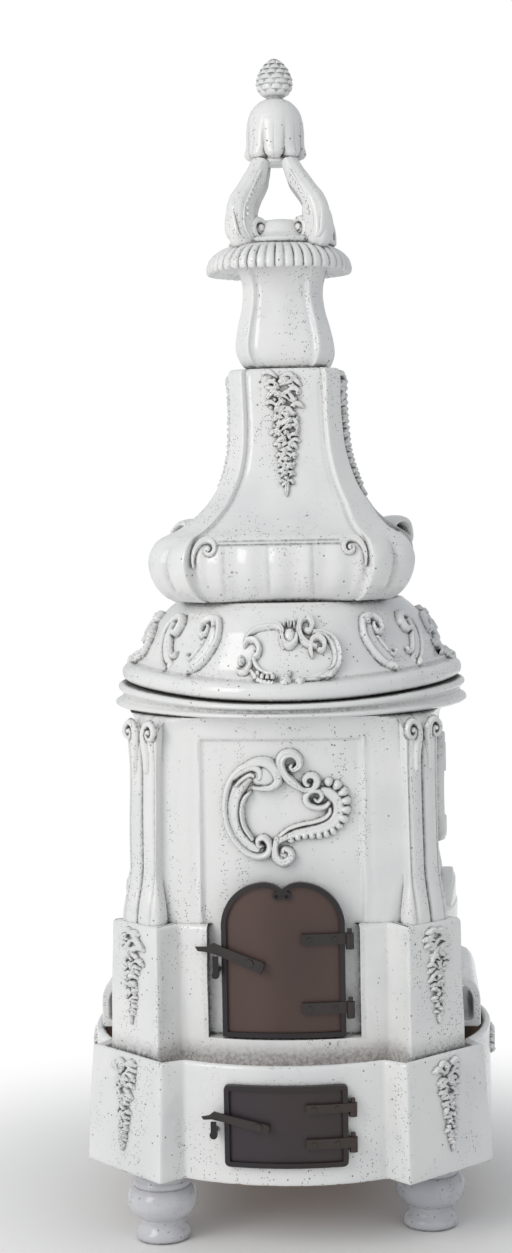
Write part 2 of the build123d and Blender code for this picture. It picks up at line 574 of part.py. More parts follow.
def ring_arc(x, z, r_out, r_in, start, sweep):
    """Part of a flat ring, from a start angle, anticlockwise."""
    steps = 6
    points = [(0.0, 0.0)]
    for index in range(steps + 1):
        angle = radians(start + sweep * index / steps)
        points.append((3 * r_out * cos(angle), 3 * r_out * sin(angle)))
    wedge = make_face(Polyline(*points, close=True))
    return Pos(x, z) * ((Circle(r_out) - Circle(r_in)) & wedge)


def cartouche_face(z, size):
    """C-scrolls and curls round an open middle, about a centre at height z."""
    shape = ring_arc(-38 * size, z, 78 * size, 52 * size, 70, 220)
    shape += ring_arc(42 * size, z - 4 * size, 76 * size, 50 * size, -100, 165)
    bosses = ((-20, 62, 26), (22, 86, 24), (48, 52, 20), (52, 30, 15), (-18, -74, 22), (12, -88, 22))
    for x, up, r in bosses:
        shape += Pos(x * size, z + up * size) * Circle(r * size)
    return shape


CARTOUCHE_Z = 796.0
CARTOUCHE_HIGH = 22.0
cartouche = curved(cartouche_face(CARTOUCHE_Z, 1.0), FIELD_YC, FIELD_R, FIELD_R + CARTOUCHE_HIGH)
for name, angle in (("front", 0), ("right", 90), ("left", 270)):
    add("cartouche_" + name, Rot(0, 0, angle) * cartouche)

FRIEZE_Z = 1106.0
SCROLL_Z = 1066.0
SCROLL_CURL = 31.0         # the curls stand this far above and below the middle
FRIEZE_HIGH = 16.0
relief_line = [(r + FRIEZE_HIGH, z) for r, z in frieze_line[4:-1]]
frieze_relief = turned_solid([(0, 1042)] + relief_line + [(225, 1169), (0, 1169)]) - frieze_solid
scroll_face = ring_arc(0, SCROLL_Z, 44, 27, 60, 240)
for z in (SCROLL_Z + SCROLL_CURL, SCROLL_Z - SCROLL_CURL):
    scroll_face += Pos(18, z) * Circle(13)
scroll = frieze_relief & upright(scroll_face, -345, -150)
oval = frieze_relief & upright(cartouche_face(FRIEZE_Z, 0.56), -345, -150)
SCROLL_TURN = 34.5         # scrolls stand at this angle on both sides of each cartouche
RING_TURN = 3              # the ring was set a little turned on the body
frieze_cartouches, frieze_scrolls = [], []
for index in range(4):
    turn = 90 * index + RING_TURN
    frieze_cartouches.append(Rot(0, 0, turn) * oval)
    frieze_scrolls.append(Rot(0, 0, turn - SCROLL_TURN) * scroll)
    frieze_scrolls.append(Rot(0, 0, turn + SCROLL_TURN) * scroll.mirror(Plane.YZ))
add("frieze_cartouches", *frieze_cartouches)
add("frieze_scrolls", *frieze_scrolls)

garland = leaf_drop(1361, 1600, 35, 10)
garland_pieces = [Rot(0, 0, 90 * index) * upright(garland, -140, -95) for index in range(4)]
add("neck_garlands", *[piece - neck_solid for piece in garland_pieces])

add("plinth_shell", plinth)
add("lower_body_shell", lower)
reach = 600.0
wedge_plan = make_face(Polyline((0, 0), (-reach, -reach), (reach, -reach), close=True))
for name, angle in (("front", 0), ("right", 90), ("rear", 180), ("left", 270)):
    wedge = Pos(0, 0, Z_LEDGE - 1) * Rot(0, 0, angle) * extrude(wedge_plan, Z_BODY_TOP - Z_LEDGE + 2)
    add("upper_body_" + name, upper & wedge)
add("upper_cornice", cornice)
add("frieze_ring", frieze)
add("neck_tower", neck)

for name, shape in nodes.items():
    export_step(shape, "parts/" + name + ".step")
print(len(nodes), "nodes")
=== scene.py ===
import math
import bpy
import numpy as np
from mathutils import Matrix, Vector


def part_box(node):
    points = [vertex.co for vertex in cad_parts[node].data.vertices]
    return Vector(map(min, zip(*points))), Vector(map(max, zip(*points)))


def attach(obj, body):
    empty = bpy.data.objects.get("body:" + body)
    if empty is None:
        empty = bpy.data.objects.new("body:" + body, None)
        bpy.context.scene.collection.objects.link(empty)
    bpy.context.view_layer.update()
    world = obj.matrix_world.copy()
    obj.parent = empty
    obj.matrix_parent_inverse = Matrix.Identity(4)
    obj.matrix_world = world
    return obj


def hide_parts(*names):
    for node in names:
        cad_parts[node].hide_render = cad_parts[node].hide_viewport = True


bl_info = {
    "name": "White Tiled Stove",
    "version": (1, 0, 0),
    "blender": (4, 5, 0),
    "location": "View3D > Sidebar > Stove",
    "description": "Dresses the packed stove with glazed tiers, modelled relief and iron doors",
    "category": "Object",
}

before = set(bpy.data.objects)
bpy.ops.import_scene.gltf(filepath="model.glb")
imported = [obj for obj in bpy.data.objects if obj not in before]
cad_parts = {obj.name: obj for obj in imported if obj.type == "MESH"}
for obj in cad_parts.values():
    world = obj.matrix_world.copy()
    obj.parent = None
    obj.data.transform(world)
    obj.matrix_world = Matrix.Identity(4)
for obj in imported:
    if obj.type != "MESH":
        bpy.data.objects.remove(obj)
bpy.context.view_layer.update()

# Shapes are worked out in millimetres and put into Blender in metres.
MM = 0.001
ROOT_TWO = math.sqrt(2.0)

# ---- levels of the joints between the tiers --------------------------------------
Z_FOOT_TOP = 134.0
Z_DECK_LOW = 300.0
Z_DECK_TOP = 330.0
Z_PLINTH_TOP = 350.0
Z_LEDGE = 587.0
Z_BODY_TOP = 957.0
Z_LIP_LOW = 965.0
Z_CORNICE_TOP = 1012.0
Z_NECK_TOP = 1605.0
Z_VASE_TOP = 1804.0
Z_RIM_TOP = 1844.0
Z_ARMS_TOP = 2006.0

# ---- plans: pilaster corners (a, b), panel ends (p, q), panel crown s --------------
PLINTH_LOW = np.array([378.0, 224.0, 183.0, 339.0, 45.0])
PLINTH_HIGH = np.array([364.0, 220.0, 180.0, 340.0, 44.0])
LOWER_LOW = np.array([330.0, 228.0, 190.0, 280.0, 42.0])
LOWER_HIGH = np.array([323.0, 228.0, 190.0, 280.0, 42.0])
UPPER_LOW = np.array([289.0, 232.0, 223.0, 264.0, 28.0])
UPPER_HIGH = np.array([283.0, 226.0, 218.0, 263.0, 29.0])
SHAFT = (235.0, 322.0)
PIT = (325.0, 392.0)
HATCH = (205.0, 215.0)

# ---- doors -------------------------------------------------------------------------
FIRE_HALF = 112.0
FIRE_BOTTOM = 386.0
FIRE_SPRING = 579.0
FIRE_LOBE = (37.0, 669.0)
FIRE_NOTCH_Z = 656.0
ASH_DOOR = (-106.0, 115.0, 170.0, 317.0)
NICHE_HALF = 139.0
FIELD_HALF = 147.0
FIELD_TOP = 926.0
FIELD_R = 893.0
FIELD_YC = 608.0
FLUE_Z = 820.0

PANEL, RETURN_A, FACE, RETURN_B = range(4)
BESIDE_PANEL = (9, 30, 9)      # columns of points on a return, a pilaster's face and the other return
SIDES = (0, 90, 180, 270)
DIAGONALS = (45, 135, 225, 315)
OPENING_FRONT = -430.0         # openings are cut from here towards the rear
# Heights in the relief: where no clay is laid, where it is trimmed and its lowest edge.
RELIEF_NONE, RELIEF_EDGE, RELIEF_ROOT = -4.0, -1.3, -1.8


# ==== sizes and colours a user may change =============================================
class StoveShape(bpy.types.PropertyGroup):
    corner_softness: bpy.props.FloatProperty(
        name="Corner softness", description="How far the glaze rounds the corners of the tiers",
        default=0.0034, min=0.001, max=0.008, unit="LENGTH")
    relief_step: bpy.props.FloatProperty(
        name="Relief step", description="Distance between points of the modelled relief",
        default=0.0013, min=0.0008, max=0.004, unit="LENGTH")
    hand_wave: bpy.props.FloatProperty(
        name="Hand wave", description="How far the hand-pressed tiles stray from true surfaces",
        default=0.0008, min=0.0, max=0.003, unit="LENGTH")
    gadroons: bpy.props.IntProperty(
        name="Gadroons", description="Number of lobes round the vase's rim", default=46, min=12, max=80)
    cone_rows: bpy.props.IntProperty(
        name="Cone rows", description="Rows of scales on the pine cone", default=7, min=3, max=12)
    iron_edge: bpy.props.FloatProperty(
        name="Iron edge", description="Width of the worn edges of the door iron",
        default=0.0011, min=0.0003, max=0.003, unit="LENGTH")


class StoveColours(bpy.types.PropertyGroup):
    glaze: bpy.props.FloatVectorProperty(
        name="Glaze", description="Clean white tin glaze", subtype="COLOR", size=4,
        default=(0.80, 0.802, 0.792, 1.0), min=0.0, max=1.0)
    glaze_grey: bpy.props.FloatVectorProperty(
        name="Grey glaze", description="Thin, greyer places in the glaze", subtype="COLOR", size=4,
        default=(0.66, 0.68, 0.69, 1.0), min=0.0, max=1.0)
    foot_glaze: bpy.props.FloatVectorProperty(
        name="Foot glaze", description="Bluish grey glaze of the feet", subtype="COLOR", size=4,
        default=(0.63, 0.631, 0.654, 1.0), min=0.0, max=1.0)
    # Grime colours pinholes and scuffs; it is also the colour of the painted shade in hollows, creases and
    # joints.
    grime_and_shade: bpy.props.FloatVectorProperty(
        name="Grime", description="Dirt in the hollows and pinholes", subtype="COLOR", size=4,
        default=(0.075, 0.068, 0.062, 1.0), min=0.0, max=1.0)
    clay: bpy.props.FloatVectorProperty(
        name="Clay", description="Body clay where the glaze is chipped away", subtype="COLOR", size=4,
        default=(0.42, 0.24, 0.12, 1.0), min=0.0, max=1.0)
    plate: bpy.props.FloatVectorProperty(
        name="Door plate", description="Browned iron of the door leaves", subtype="COLOR", size=4,
        default=(0.086, 0.050, 0.042, 1.0), min=0.0, max=1.0)
    rust: bpy.props.FloatVectorProperty(
        name="Rust", description="Rust bloom on the iron", subtype="COLOR", size=4,
        default=(0.105, 0.056, 0.030, 1.0), min=0.0, max=1.0)
    forged: bpy.props.FloatVectorProperty(
        name="Forged iron", description="Dark forged iron of rims and straps", subtype="COLOR", size=4,
        default=(0.017, 0.014, 0.017, 1.0), min=0.0, max=1.0)


def shape():
    return bpy.context.scene.stove_shape


def colours():
    return bpy.context.scene.stove_colours


# ==== materials =======================================================================
class Nodes:
    """Short words for building the nodes of a material or of the world."""

    def __init__(self, owner):
        owner.use_nodes = True
        self.owner = owner
        self.tree = owner.node_tree
        self.tree.nodes.clear()
        if isinstance(owner, bpy.types.Material):
            self.place = self.add("ShaderNodeTexCoord").outputs["Object"]

    def add(self, kind, sockets=None, **values):
        """A node with its settings; sockets gives its inputs a number, a colour or a link."""
        node = self.tree.nodes.new(kind)
        for key, value in values.items():
            setattr(node, key, value)
        for key, value in (sockets or {}).items():
            if hasattr(value, "is_output"):
                self.tree.links.new(value, node.inputs[key])
            else:
                node.inputs[key].default_value = value
        return node

    def noise(self, scale, detail=4.0, rough=0.55, stretch=(1, 1, 1)):
        mapping = self.add("ShaderNodeMapping", {"Scale": stretch, "Vector": self.place})
        sockets = {"Scale": scale, "Detail": detail, "Roughness": rough, "Vector": mapping.outputs[0]}
        return self.add("ShaderNodeTexNoise", sockets).outputs["Fac"]

    def cells(self, scale):
        return self.add("ShaderNodeTexVoronoi", {"Scale": scale, "Vector": self.place})

    def ramp(self, value, low, high, to_low=0.0, to_high=1.0):
        sockets = {"Value": value, "From Min": low, "From Max": high, "To Min": to_low, "To Max": to_high}
        return self.add("ShaderNodeMapRange", sockets, interpolation_type="SMOOTHSTEP").outputs["Result"]

    def sum(self, operation, first, second=0.5, clamp=False):
        sockets = {0: first, 1: second}
        return self.add("ShaderNodeMath", sockets, operation=operation, use_clamp=clamp).outputs[0]

    def mix(self, factor, first, second):
        sockets = {"Factor": factor, "A": first, "B": second}
        return self.add("ShaderNodeMix", sockets, data_type="RGBA").outputs["Result"]

    def mark(self, name):
        return self.add("ShaderNodeAttribute", attribute_name=name).outputs["Fac"]

    # How shut in a point is, from ambient occlusion; used to paint shade into a colour.
    def hollow(self, distance, samples=6):
        node = self.add("ShaderNodeAmbientOcclusion", {"Distance": distance}, samples=samples)
        return self.sum("SUBTRACT", 1.0, node.outputs["AO"])

    def bump(self, height, strength, distance, below=None):
        sockets = {"Strength": strength, "Distance": distance, "Height": height}
        if below is not None:
            sockets["Normal"] = below
        return self.add("ShaderNodeBump", sockets).outputs["Normal"]

    def finish(self, colour, roughness, normal, **more):
        sockets = {"Base Color": colour, "Roughness": roughness, "Normal": normal, **more}
        shader = self.add("ShaderNodeBsdfPrincipled", sockets)
        self.add("ShaderNodeOutputMaterial", {"Surface": shader.outputs[0]})
        return self.owner


def glaze_material(name, clean, thin, grime_and_shade_amount=1.0):
    """Hand-dipped tin glaze: cloudy white, pinholes, grime in the hollows, bare clay at chipped edges."""
    n = Nodes(bpy.data.materials.new(name))
    paint = colours()
    cloud = n.ramp(n.noise(5.0, 3.0), 0.42, 0.72)
    streak = n.ramp(n.noise(9.0, 3.0, stretch=(5, 5, 0.5)), 0.55, 0.82)
    body = n.mix(n.sum("MULTIPLY", cloud, 0.55), clean, thin)
    body = n.mix(n.sum("MULTIPLY", streak, 0.22), body, thin)

    patchy = n.ramp(n.noise(6.0, 3.0), 0.45, 0.60)
    drips = n.ramp(n.noise(8.0, 2.0, stretch=(2.2, 2.2, 0.5)), 0.46, 0.62)
    pin = None
    for scale, share, size, where in ((48.0, 0.76, 0.15, drips), (115.0, 0.70, 0.24, patchy),
                                      (270.0, 0.66, 0.36, drips)):
        spots = n.cells(scale)
        rare = n.sum("GREATER_THAN", spots.outputs["Color"], share)
        dot = n.sum("MULTIPLY", n.ramp(spots.outputs["Distance"], size * 0.55, size, 1.0, 0.0), rare)
        dot = n.sum("MULTIPLY", dot, where)
        pin = dot if pin is None else n.sum("MAXIMUM", pin, dot)

    ragged = n.ramp(n.noise(140.0, 4.0, 0.7), 0.35, 0.65)
    # Painted shade: ambient occlusion darkens the crevices (deep) and the broad hollows under and between
    # parts (wide).
    deep = n.ramp(n.hollow(0.011), 0.26, 0.66)
    wide = n.ramp(n.hollow(0.045), 0.38, 0.95)
    # The mark drawn on the meshes is mostly painted shade in creases, recesses and under ledges, with some
    # dark joints.
    drawn = n.mark("grime_and_shade")
    dirt_and_shade = n.sum("MULTIPLY", n.sum("ADD", 0.35, n.sum("MULTIPLY", ragged, 0.65)), deep)
    dirt_and_shade = n.sum("ADD", dirt_and_shade, n.sum("MULTIPLY", drawn, n.sum("ADD", 0.45, n.sum("MULTIPLY", ragged, 0.8))),
                 True)
    dirt_and_shade = n.sum("ADD", dirt_and_shade, n.sum("MULTIPLY", wide, n.sum("MULTIPLY", ragged, 0.22)), True)
    scuff = n.ramp(n.noise(95.0, 6.0, 0.80, stretch=(1, 1, 0.5)), 0.60, 0.70)
    scuff = n.sum("MULTIPLY", scuff, n.ramp(n.noise(4.5, 3.0, stretch=(1, 1, 0.5)), 0.52, 0.66))
    dirt_and_shade = n.sum("ADD", dirt_and_shade, n.sum("MULTIPLY", scuff, 0.50), True)
    dirt_and_shade = n.sum("MULTIPLY", dirt_and_shade, grime_and_shade_amount)
    dirt_and_shade = n.sum("MAXIMUM", dirt_and_shade, n.sum("MULTIPLY", pin, 0.92), True)
    # The glaze goes towards the grime colour with painted shade (occlusion and drawn mark), scuffs and
    # pinholes.
    body = n.mix(n.sum("MULTIPLY", dirt_and_shade, 0.90), body, tuple(paint.grime_and_shade))

    chip = n.sum("ADD", n.mark("chip"), n.sum("MULTIPLY", n.noise(45.0, 5.0, 0.65), 0.9))
    chip = n.ramp(chip, 1.02, 1.08)
    body = n.mix(chip, body, tuple(paint.clay))

    rough = n.sum("ADD", 0.10, n.sum("MULTIPLY", n.noise(30.0, 3.0), 0.12))
    rough = n.sum("ADD", rough, n.sum("MULTIPLY", n.sum("MAXIMUM", dirt_and_shade, chip), 0.45), True)
    skin = n.bump(n.noise(16.0, 2.0), 0.35, 0.006)
    skin = n.bump(n.sum("MULTIPLY", pin, -1.0), 0.6, 0.0012, skin)
    skin = n.bump(n.noise(90.0, 3.0), 0.25, 0.0012, skin)
    return n.finish(body, rough, skin, IOR=1.5)


def clay_material(name):
    n = Nodes(bpy.data.materials.new(name))
    paint = colours()
    grain = n.noise(180.0, 6.0, 0.7)
    patch = n.ramp(n.noise(9.0, 4.0), 0.35, 0.7)
    body = n.mix(patch, (0.40, 0.215, 0.115, 1.0), (0.27, 0.145, 0.085, 1.0))
    body = n.mix(n.ramp(grain, 0.55, 0.8, 0.0, 0.6), body, (0.50, 0.34, 0.22, 1.0))
    # Painted shade: occlusion darkens the hollows between the bricks, standing for soot as well.
    soot_and_shade = n.ramp(n.hollow(0.05, 4), 0.25, 0.9)
    body = n.mix(n.sum("MULTIPLY", soot_and_shade, 0.7), body, tuple(paint.grime_and_shade))
    return n.finish(body, n.ramp(grain, 0.3, 0.8, 0.78, 0.96), n.bump(grain, 0.5, 0.002))


def iron_material(name, dark, rust_share, rough_low, rough_high, metal):
    """Old iron: a browned skin with faint rust blooms and fine pitting."""
    n = Nodes(bpy.data.materials.new(name))
    paint = colours()
    bloom = n.ramp(n.noise(2.6, 2.0, 0.4), 0.35, 0.80)
    freckle = n.ramp(n.noise(150.0, 3.0, 0.6), 0.62, 0.80)
    wipe = n.ramp(n.noise(3.0, 2.0, stretch=(1.6, 1, 0.5)), 0.30, 0.80)
    rust = n.sum("MULTIPLY", n.sum("ADD", bloom, n.sum("MULTIPLY", freckle, 0.3), True), rust_share)
    shade = tuple(0.55 * v for v in dark[:3]) + (1.0,)
    body = n.mix(wipe, tuple(dark), shade)
    body = n.mix(rust, body, tuple(paint.rust))
    pits = n.noise(320.0, 4.0, 0.7)
    waves = n.noise(22.0, 3.0)
    rough = n.ramp(n.sum("ADD", rust, n.sum("MULTIPLY", freckle, 0.4), True), 0.0, 1.0, rough_low,
                   rough_high)
    normal = n.bump(waves, 0.12, 0.003)
    normal = n.bump(pits, 0.35, 0.0006, normal)
    return n.finish(body, rough, normal, Metallic=metal)


def make_finishes():
    paint = colours()
    made = {
        "white_glaze": glaze_material("white_glaze", tuple(paint.glaze), tuple(paint.glaze_grey)),
        "grey_glaze": glaze_material("grey_glaze", tuple(paint.foot_glaze), (0.36, 0.375, 0.43, 1.0), 0.8),
        "fired_clay": clay_material("fired_clay"),
    }
    for name, *looks in (        # colour, share of rust, roughness from and to, metal
            ("door_plate", paint.plate, 0.55, 0.44, 0.62, 0.05),
            ("ash_plate", (0.034, 0.025, 0.032, 1.0), 0.25, 0.42, 0.60, 0.05),
            ("forged_iron", paint.forged, 0.20, 0.42, 0.65, 0.10),
            ("strap_iron", (0.036, 0.030, 0.029, 1.0), 0.30, 0.38, 0.62, 0.15),
            ("cast_grate", (0.06, 0.052, 0.048, 1.0), 0.7, 0.6, 0.9, 0.3),
            ("sheet_iron", (0.13, 0.12, 0.115, 1.0), 0.3, 0.35, 0.6, 0.7)):
        made[name] = iron_material(name, *looks)
    return made


FINISH = {}


# ==== meshes ==========================================================================
def grid_faces(rows, cols, round_cols=False, round_rows=False):
    """Four-sided faces of a grid of points, joined round in either direction if asked."""
    r = np.arange(rows if round_rows else rows - 1)[:, None]
    c = np.arange(cols if round_cols else cols - 1)[None, :]
    r_next = (r + 1) % rows
    c_next = (c + 1) % cols
    quads = np.stack([r * cols + c, r * cols + c_next, r_next * cols + c_next, r_next * cols + c], -1)
    return quads.reshape(-1, 4)


def mesh_from(name, points, faces, marks=None, sharp=40.0):
    """A smooth-shaded mesh from points in millimetres."""
    points = np.asarray(points, float).reshape(-1, 3)
    faces = [list(map(int, face)) for face in faces]
    used = np.zeros(len(points), bool)
    used[np.fromiter((i for face in faces for i in face), int)] = True
    if not used.all():
        number = np.cumsum(used) - 1
        faces = [[int(number[i]) for i in face] for face in faces]
        marks = {key: np.asarray(value).reshape(-1)[used] for key, value in (marks or {}).items()}
        points = points[used]
    mesh = bpy.data.meshes.new(name)
    mesh.from_pydata((points * MM).tolist(), [], faces)
    for key, values in (marks or {}).items():
        layer = mesh.attributes.new(key, "FLOAT", "POINT")
        layer.data.foreach_set("value", np.ascontiguousarray(np.asarray(values).reshape(-1), np.float32))
    shade(mesh, sharp)
    return mesh


def shade(mesh, sharp=40.0):
    mesh.polygons.foreach_set("use_smooth", np.ones(len(mesh.polygons), bool))
    mesh.set_sharp_from_angle(angle=math.radians(sharp))
    mesh.update()


def piece(name, mesh, *replaces, finish="white_glaze", tier=None):
    """Puts a mesh in the scene as a piece that rides on the stove and stands for CAD nodes."""
    if tier is not None:
        settle(mesh, *SETTLED[tier])
    made = bpy.data.objects.new(name, mesh)
    bpy.context.scene.collection.objects.link(made)
    mesh.materials.clear()
    mesh.materials.append(FINISH[finish])
    mesh.polygons.foreach_set("material_index", np.zeros(len(mesh.polygons), np.int32))
    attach(made, "stove")
    if replaces:
        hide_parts(*replaces)


# How far each upper tier was set off the axis: heights, x at each, and the sag of a ring.
SETTLED = {
    "cornice": ((Z_BODY_TOP, Z_CORNICE_TOP), (6.0, 6.5), 1.0),
    "frieze": ((Z_CORNICE_TOP,), (8.0,), 1.0),
    "neck": ((1290.0, 1350.0, 1410.0, Z_NECK_TOP), (1.0, 12.0, 12.0, 7.0), 0.0),
    "vase": ((Z_NECK_TOP, Z_VASE_TOP), (9.0, 3.0), 0.0),
    "rim": ((Z_VASE_TOP,), (-3.0,), 0.0),
    "crown": ((Z_RIM_TOP, Z_ARMS_TOP), (5.0, -6.0), 0.0),
}
RING_LIFT = 4.0
RING_SAG = 22.0


def settle(mesh, heights, shifts, sag):
    """Moves a tier to where it was set by hand, and lets a ring sag at the front."""
    flat = np.empty(len(mesh.vertices) * 3)
    mesh.vertices.foreach_get("co", flat)
    points = flat.reshape(-1, 3) / MM
    if sag:
        away = np.maximum(np.hypot(points[:, 0], points[:, 1]), 1.0)
        front = np.clip(-points[:, 1] / away, 0, 1) ** 2
        fade = step_up(points[:, 2], 960, 1012) * (1 - step_up(points[:, 2], 1055, 1155))
        points[:, 2] += sag * fade * (RING_LIFT - RING_SAG * front)
    points[:, 0] += np.interp(points[:, 2], heights, shifts)
    mesh.vertices.foreach_set("co", (points * MM).ravel())
    mesh.update()


def evaluated(mesh, *modifiers):
    """The mesh with modifiers applied; each is (type, {setting: value})."""
    holder = bpy.data.objects.new("working", mesh)
    bpy.context.scene.collection.objects.link(holder)
    for index, (kind, settings) in enumerate(modifiers):
        modifier = holder.modifiers.new(str(index), kind)
        for key, value in settings.items():
            setattr(modifier, key, value)
    graph = bpy.context.evaluated_depsgraph_get()
    result = bpy.data.meshes.new_from_object(holder.evaluated_get(graph))
    bpy.data.objects.remove(holder)
    return result


def cut(mesh, cutters):
    """The mesh less closed cutter meshes."""
    helpers = []
    for index, cutter in enumerate(cutters):
        helper = bpy.data.objects.new("cutter" + str(index), cutter)
        bpy.context.scene.collection.objects.link(helper)
        helpers.append(helper)
    steps = [("BOOLEAN", {"operation": "DIFFERENCE", "object": helper, "solver": "MANIFOLD"})
             for helper in helpers]
    result = evaluated(mesh, *steps)
    for helper in helpers:
        bpy.data.objects.remove(helper)
    shade(result)
    return result


def prism(outline, y_front, y_back):
    """A closed block from an outline in x and z, for cutting openings along Y."""
    count = len(outline)
    points = [(x, y_front, z) for x, z in outline] + [(x, y_back, z) for x, z in outline]
    area = sum(outline[i - 1][0] * outline[i][1] - outline[i][0] * outline[i - 1][1] for i in range(count))
    sides = [[i, (i + 1) % count, (i + 1) % count + count, i + count] for i in range(count)]
    faces = sides + [list(range(count))[::-1], list(range(count, 2 * count))]
    if area > 0:
        faces = [face[::-1] for face in faces]
    return mesh_from("prism", points, faces)


def arc_points(first, middle, last, count):
    """Points on the circle through three plan points, the last one left off."""
    (ax, ay), (bx, by), (cx, cy) = first, middle, last
    d = 2 * (ax * (by - cy) + bx * (cy - ay) + cx * (ay - by))
    aa, bb, cc = (x * x + y * y for x, y in (first, middle, last))
    ux = (aa * (by - cy) + bb * (cy - ay) + cc * (ay - by)) / d
    uy = (aa * (cx - bx) + bb * (ax - cx) + cc * (bx - ax)) / d
    radius = math.hypot(ax - ux, ay - uy)
    start, mid, end = (math.atan2(y - uy, x - ux) for x, y in (first, middle, last))
    sweep = (end - start) % (2 * math.pi)
    if (mid - start) % (2 * math.pi) > sweep:
        sweep -= 2 * math.pi
    return [(ux + radius * math.cos(start + sweep * i / count),
             uy + radius * math.sin(start + sweep * i / count))
            for i in range(count)]


def fire_outline(border):
    """The twin-lobed arch of the fire door, drawn in by a border width."""
    half, bottom = FIRE_HALF - border, FIRE_BOTTOM + border
    lobe, notch = FIRE_LOBE[1] - border, FIRE_NOTCH_Z - border * 1.3
    shoulder = (94.5 - border * 0.8, 638 - border * 0.6)
    right = arc_points((half, FIRE_SPRING), shoulder, (FIRE_LOBE[0], lobe), 16)
    right += arc_points((FIRE_LOBE[0], lobe), (15, lobe - 3), (0, notch), 8)
    left = [(-x, z) for x, z in right[::-1]]
    return [(half, bottom)] + right + [(0, notch)] + left + [(-half, bottom)]


def rounded_box(x_low, x_high, z_low, z_high, radius, count=6):
    points = []
    for cx, cz, start in ((x_high - radius, z_high - radius, 0), (x_low + radius, z_high - radius, 90),
                          (x_low + radius, z_low + radius, 180), (x_high - radius, z_low + radius, 270)):
        for index in range(count + 1):
            angle = math.radians(start + 90 * index / count)
            points.append((cx + radius * math.cos(angle), cz + radius * math.sin(angle)))
    return points


def capped(points, ends):
    """Points and faces of a tube of rings, closed by a fan about each end point."""
    rows, cols = points.shape[:2]
    faces = grid_faces(rows, cols, True).tolist()
    first, last, top = rows * cols, rows * cols + 1, (rows - 1) * cols
    for i in range(cols):
        j = (i + 1) % cols
        faces += [[j, i, first], [top + i, top + j, last]]
    return np.vstack([points.reshape(-1, 3), ends]), faces


def lathe(profile, turns, change=None):
    """A closed round mesh from (radius, height) points that start and end on the axis."""
    profile = np.asarray(profile, float)
    angles = np.linspace(0, 2 * math.pi, turns, endpoint=False)
    radius = np.repeat(profile[1:-1, :1], turns, 1)
    height = np.repeat(profile[1:-1, 1:], turns, 1)
    if change is not None:
        radius, height = change(radius, height, angles[None, :])
    points = np.stack([radius * np.cos(angles), radius * np.sin(angles), height], -1)
    return capped(points, [[0, 0, profile[0, 1]], [0, 0, profile[-1, 1]]])


def smooth_line(points, step):
    """Points of a smooth curve through the given ones (every column is carried along)."""
    points = np.asarray(points, float)
    if len(points) == 2:
        count = max(2, int(np.linalg.norm(points[1, :2] - points[0, :2]) / step) + 1)
        return points[0] + np.linspace(0, 1, count)[:, None] * (points[1] - points[0])
    padded = np.vstack([2 * points[0] - points[1], points, 2 * points[-1] - points[-2]])
    out = []
    for i in range(1, len(padded) - 2):
        p0, p1, p2, p3 = padded[i - 1:i + 3]
        count = max(1, int(np.linalg.norm((p2 - p1)[:2]) / step))
        t = (np.arange(count) / count)[:, None]
        out.append(0.5 * (2 * p1 + (p2 - p0) * t + (2 * p0 - 5 * p1 + 4 * p2 - p3) * t * t
                          + (3 * p1 - p0 - 3 * p2 + p3) * t ** 3))
    out.append(points[-1:])
    return np.vstack(out)


def profile_line(points, step=2.0):
    """A turned profile with its corners kept and long runs divided."""
    out = [points[0]]
    for first, second in zip(points[:-1], points[1:]):
        count = max(1, int(math.dist(first, second) / step))
        for index in range(1, count + 1):
            t = index / count
            out.append((first[0] + (second[0] - first[0]) * t, first[1] + (second[1] - first[1]) * t))
    return out


# ==== plans of the tiers ================================================================
def panel_columns(p):
    """Where the columns of points stand across a panel, closer at the edges of niche and field."""
    inner = [0, 6, 12, 18, 24, 30, 36, 42, 48, 54, 60, 66, 72, 78, 84, 90, 96, 102, 108, 114, 120, 126, 131,
             135, 137.5, 138.6, 139.4, 140.5, 143, 145.5, 146.6, 147.4, 148.6, 151, 155]
    outer = list(np.linspace(160, p - 3.0, 9)) + [p]
    half = np.array(inner + outer) if p > 170 else np.linspace(0, p, 44)
    return np.concatenate([-half[::-1], half[1:]])


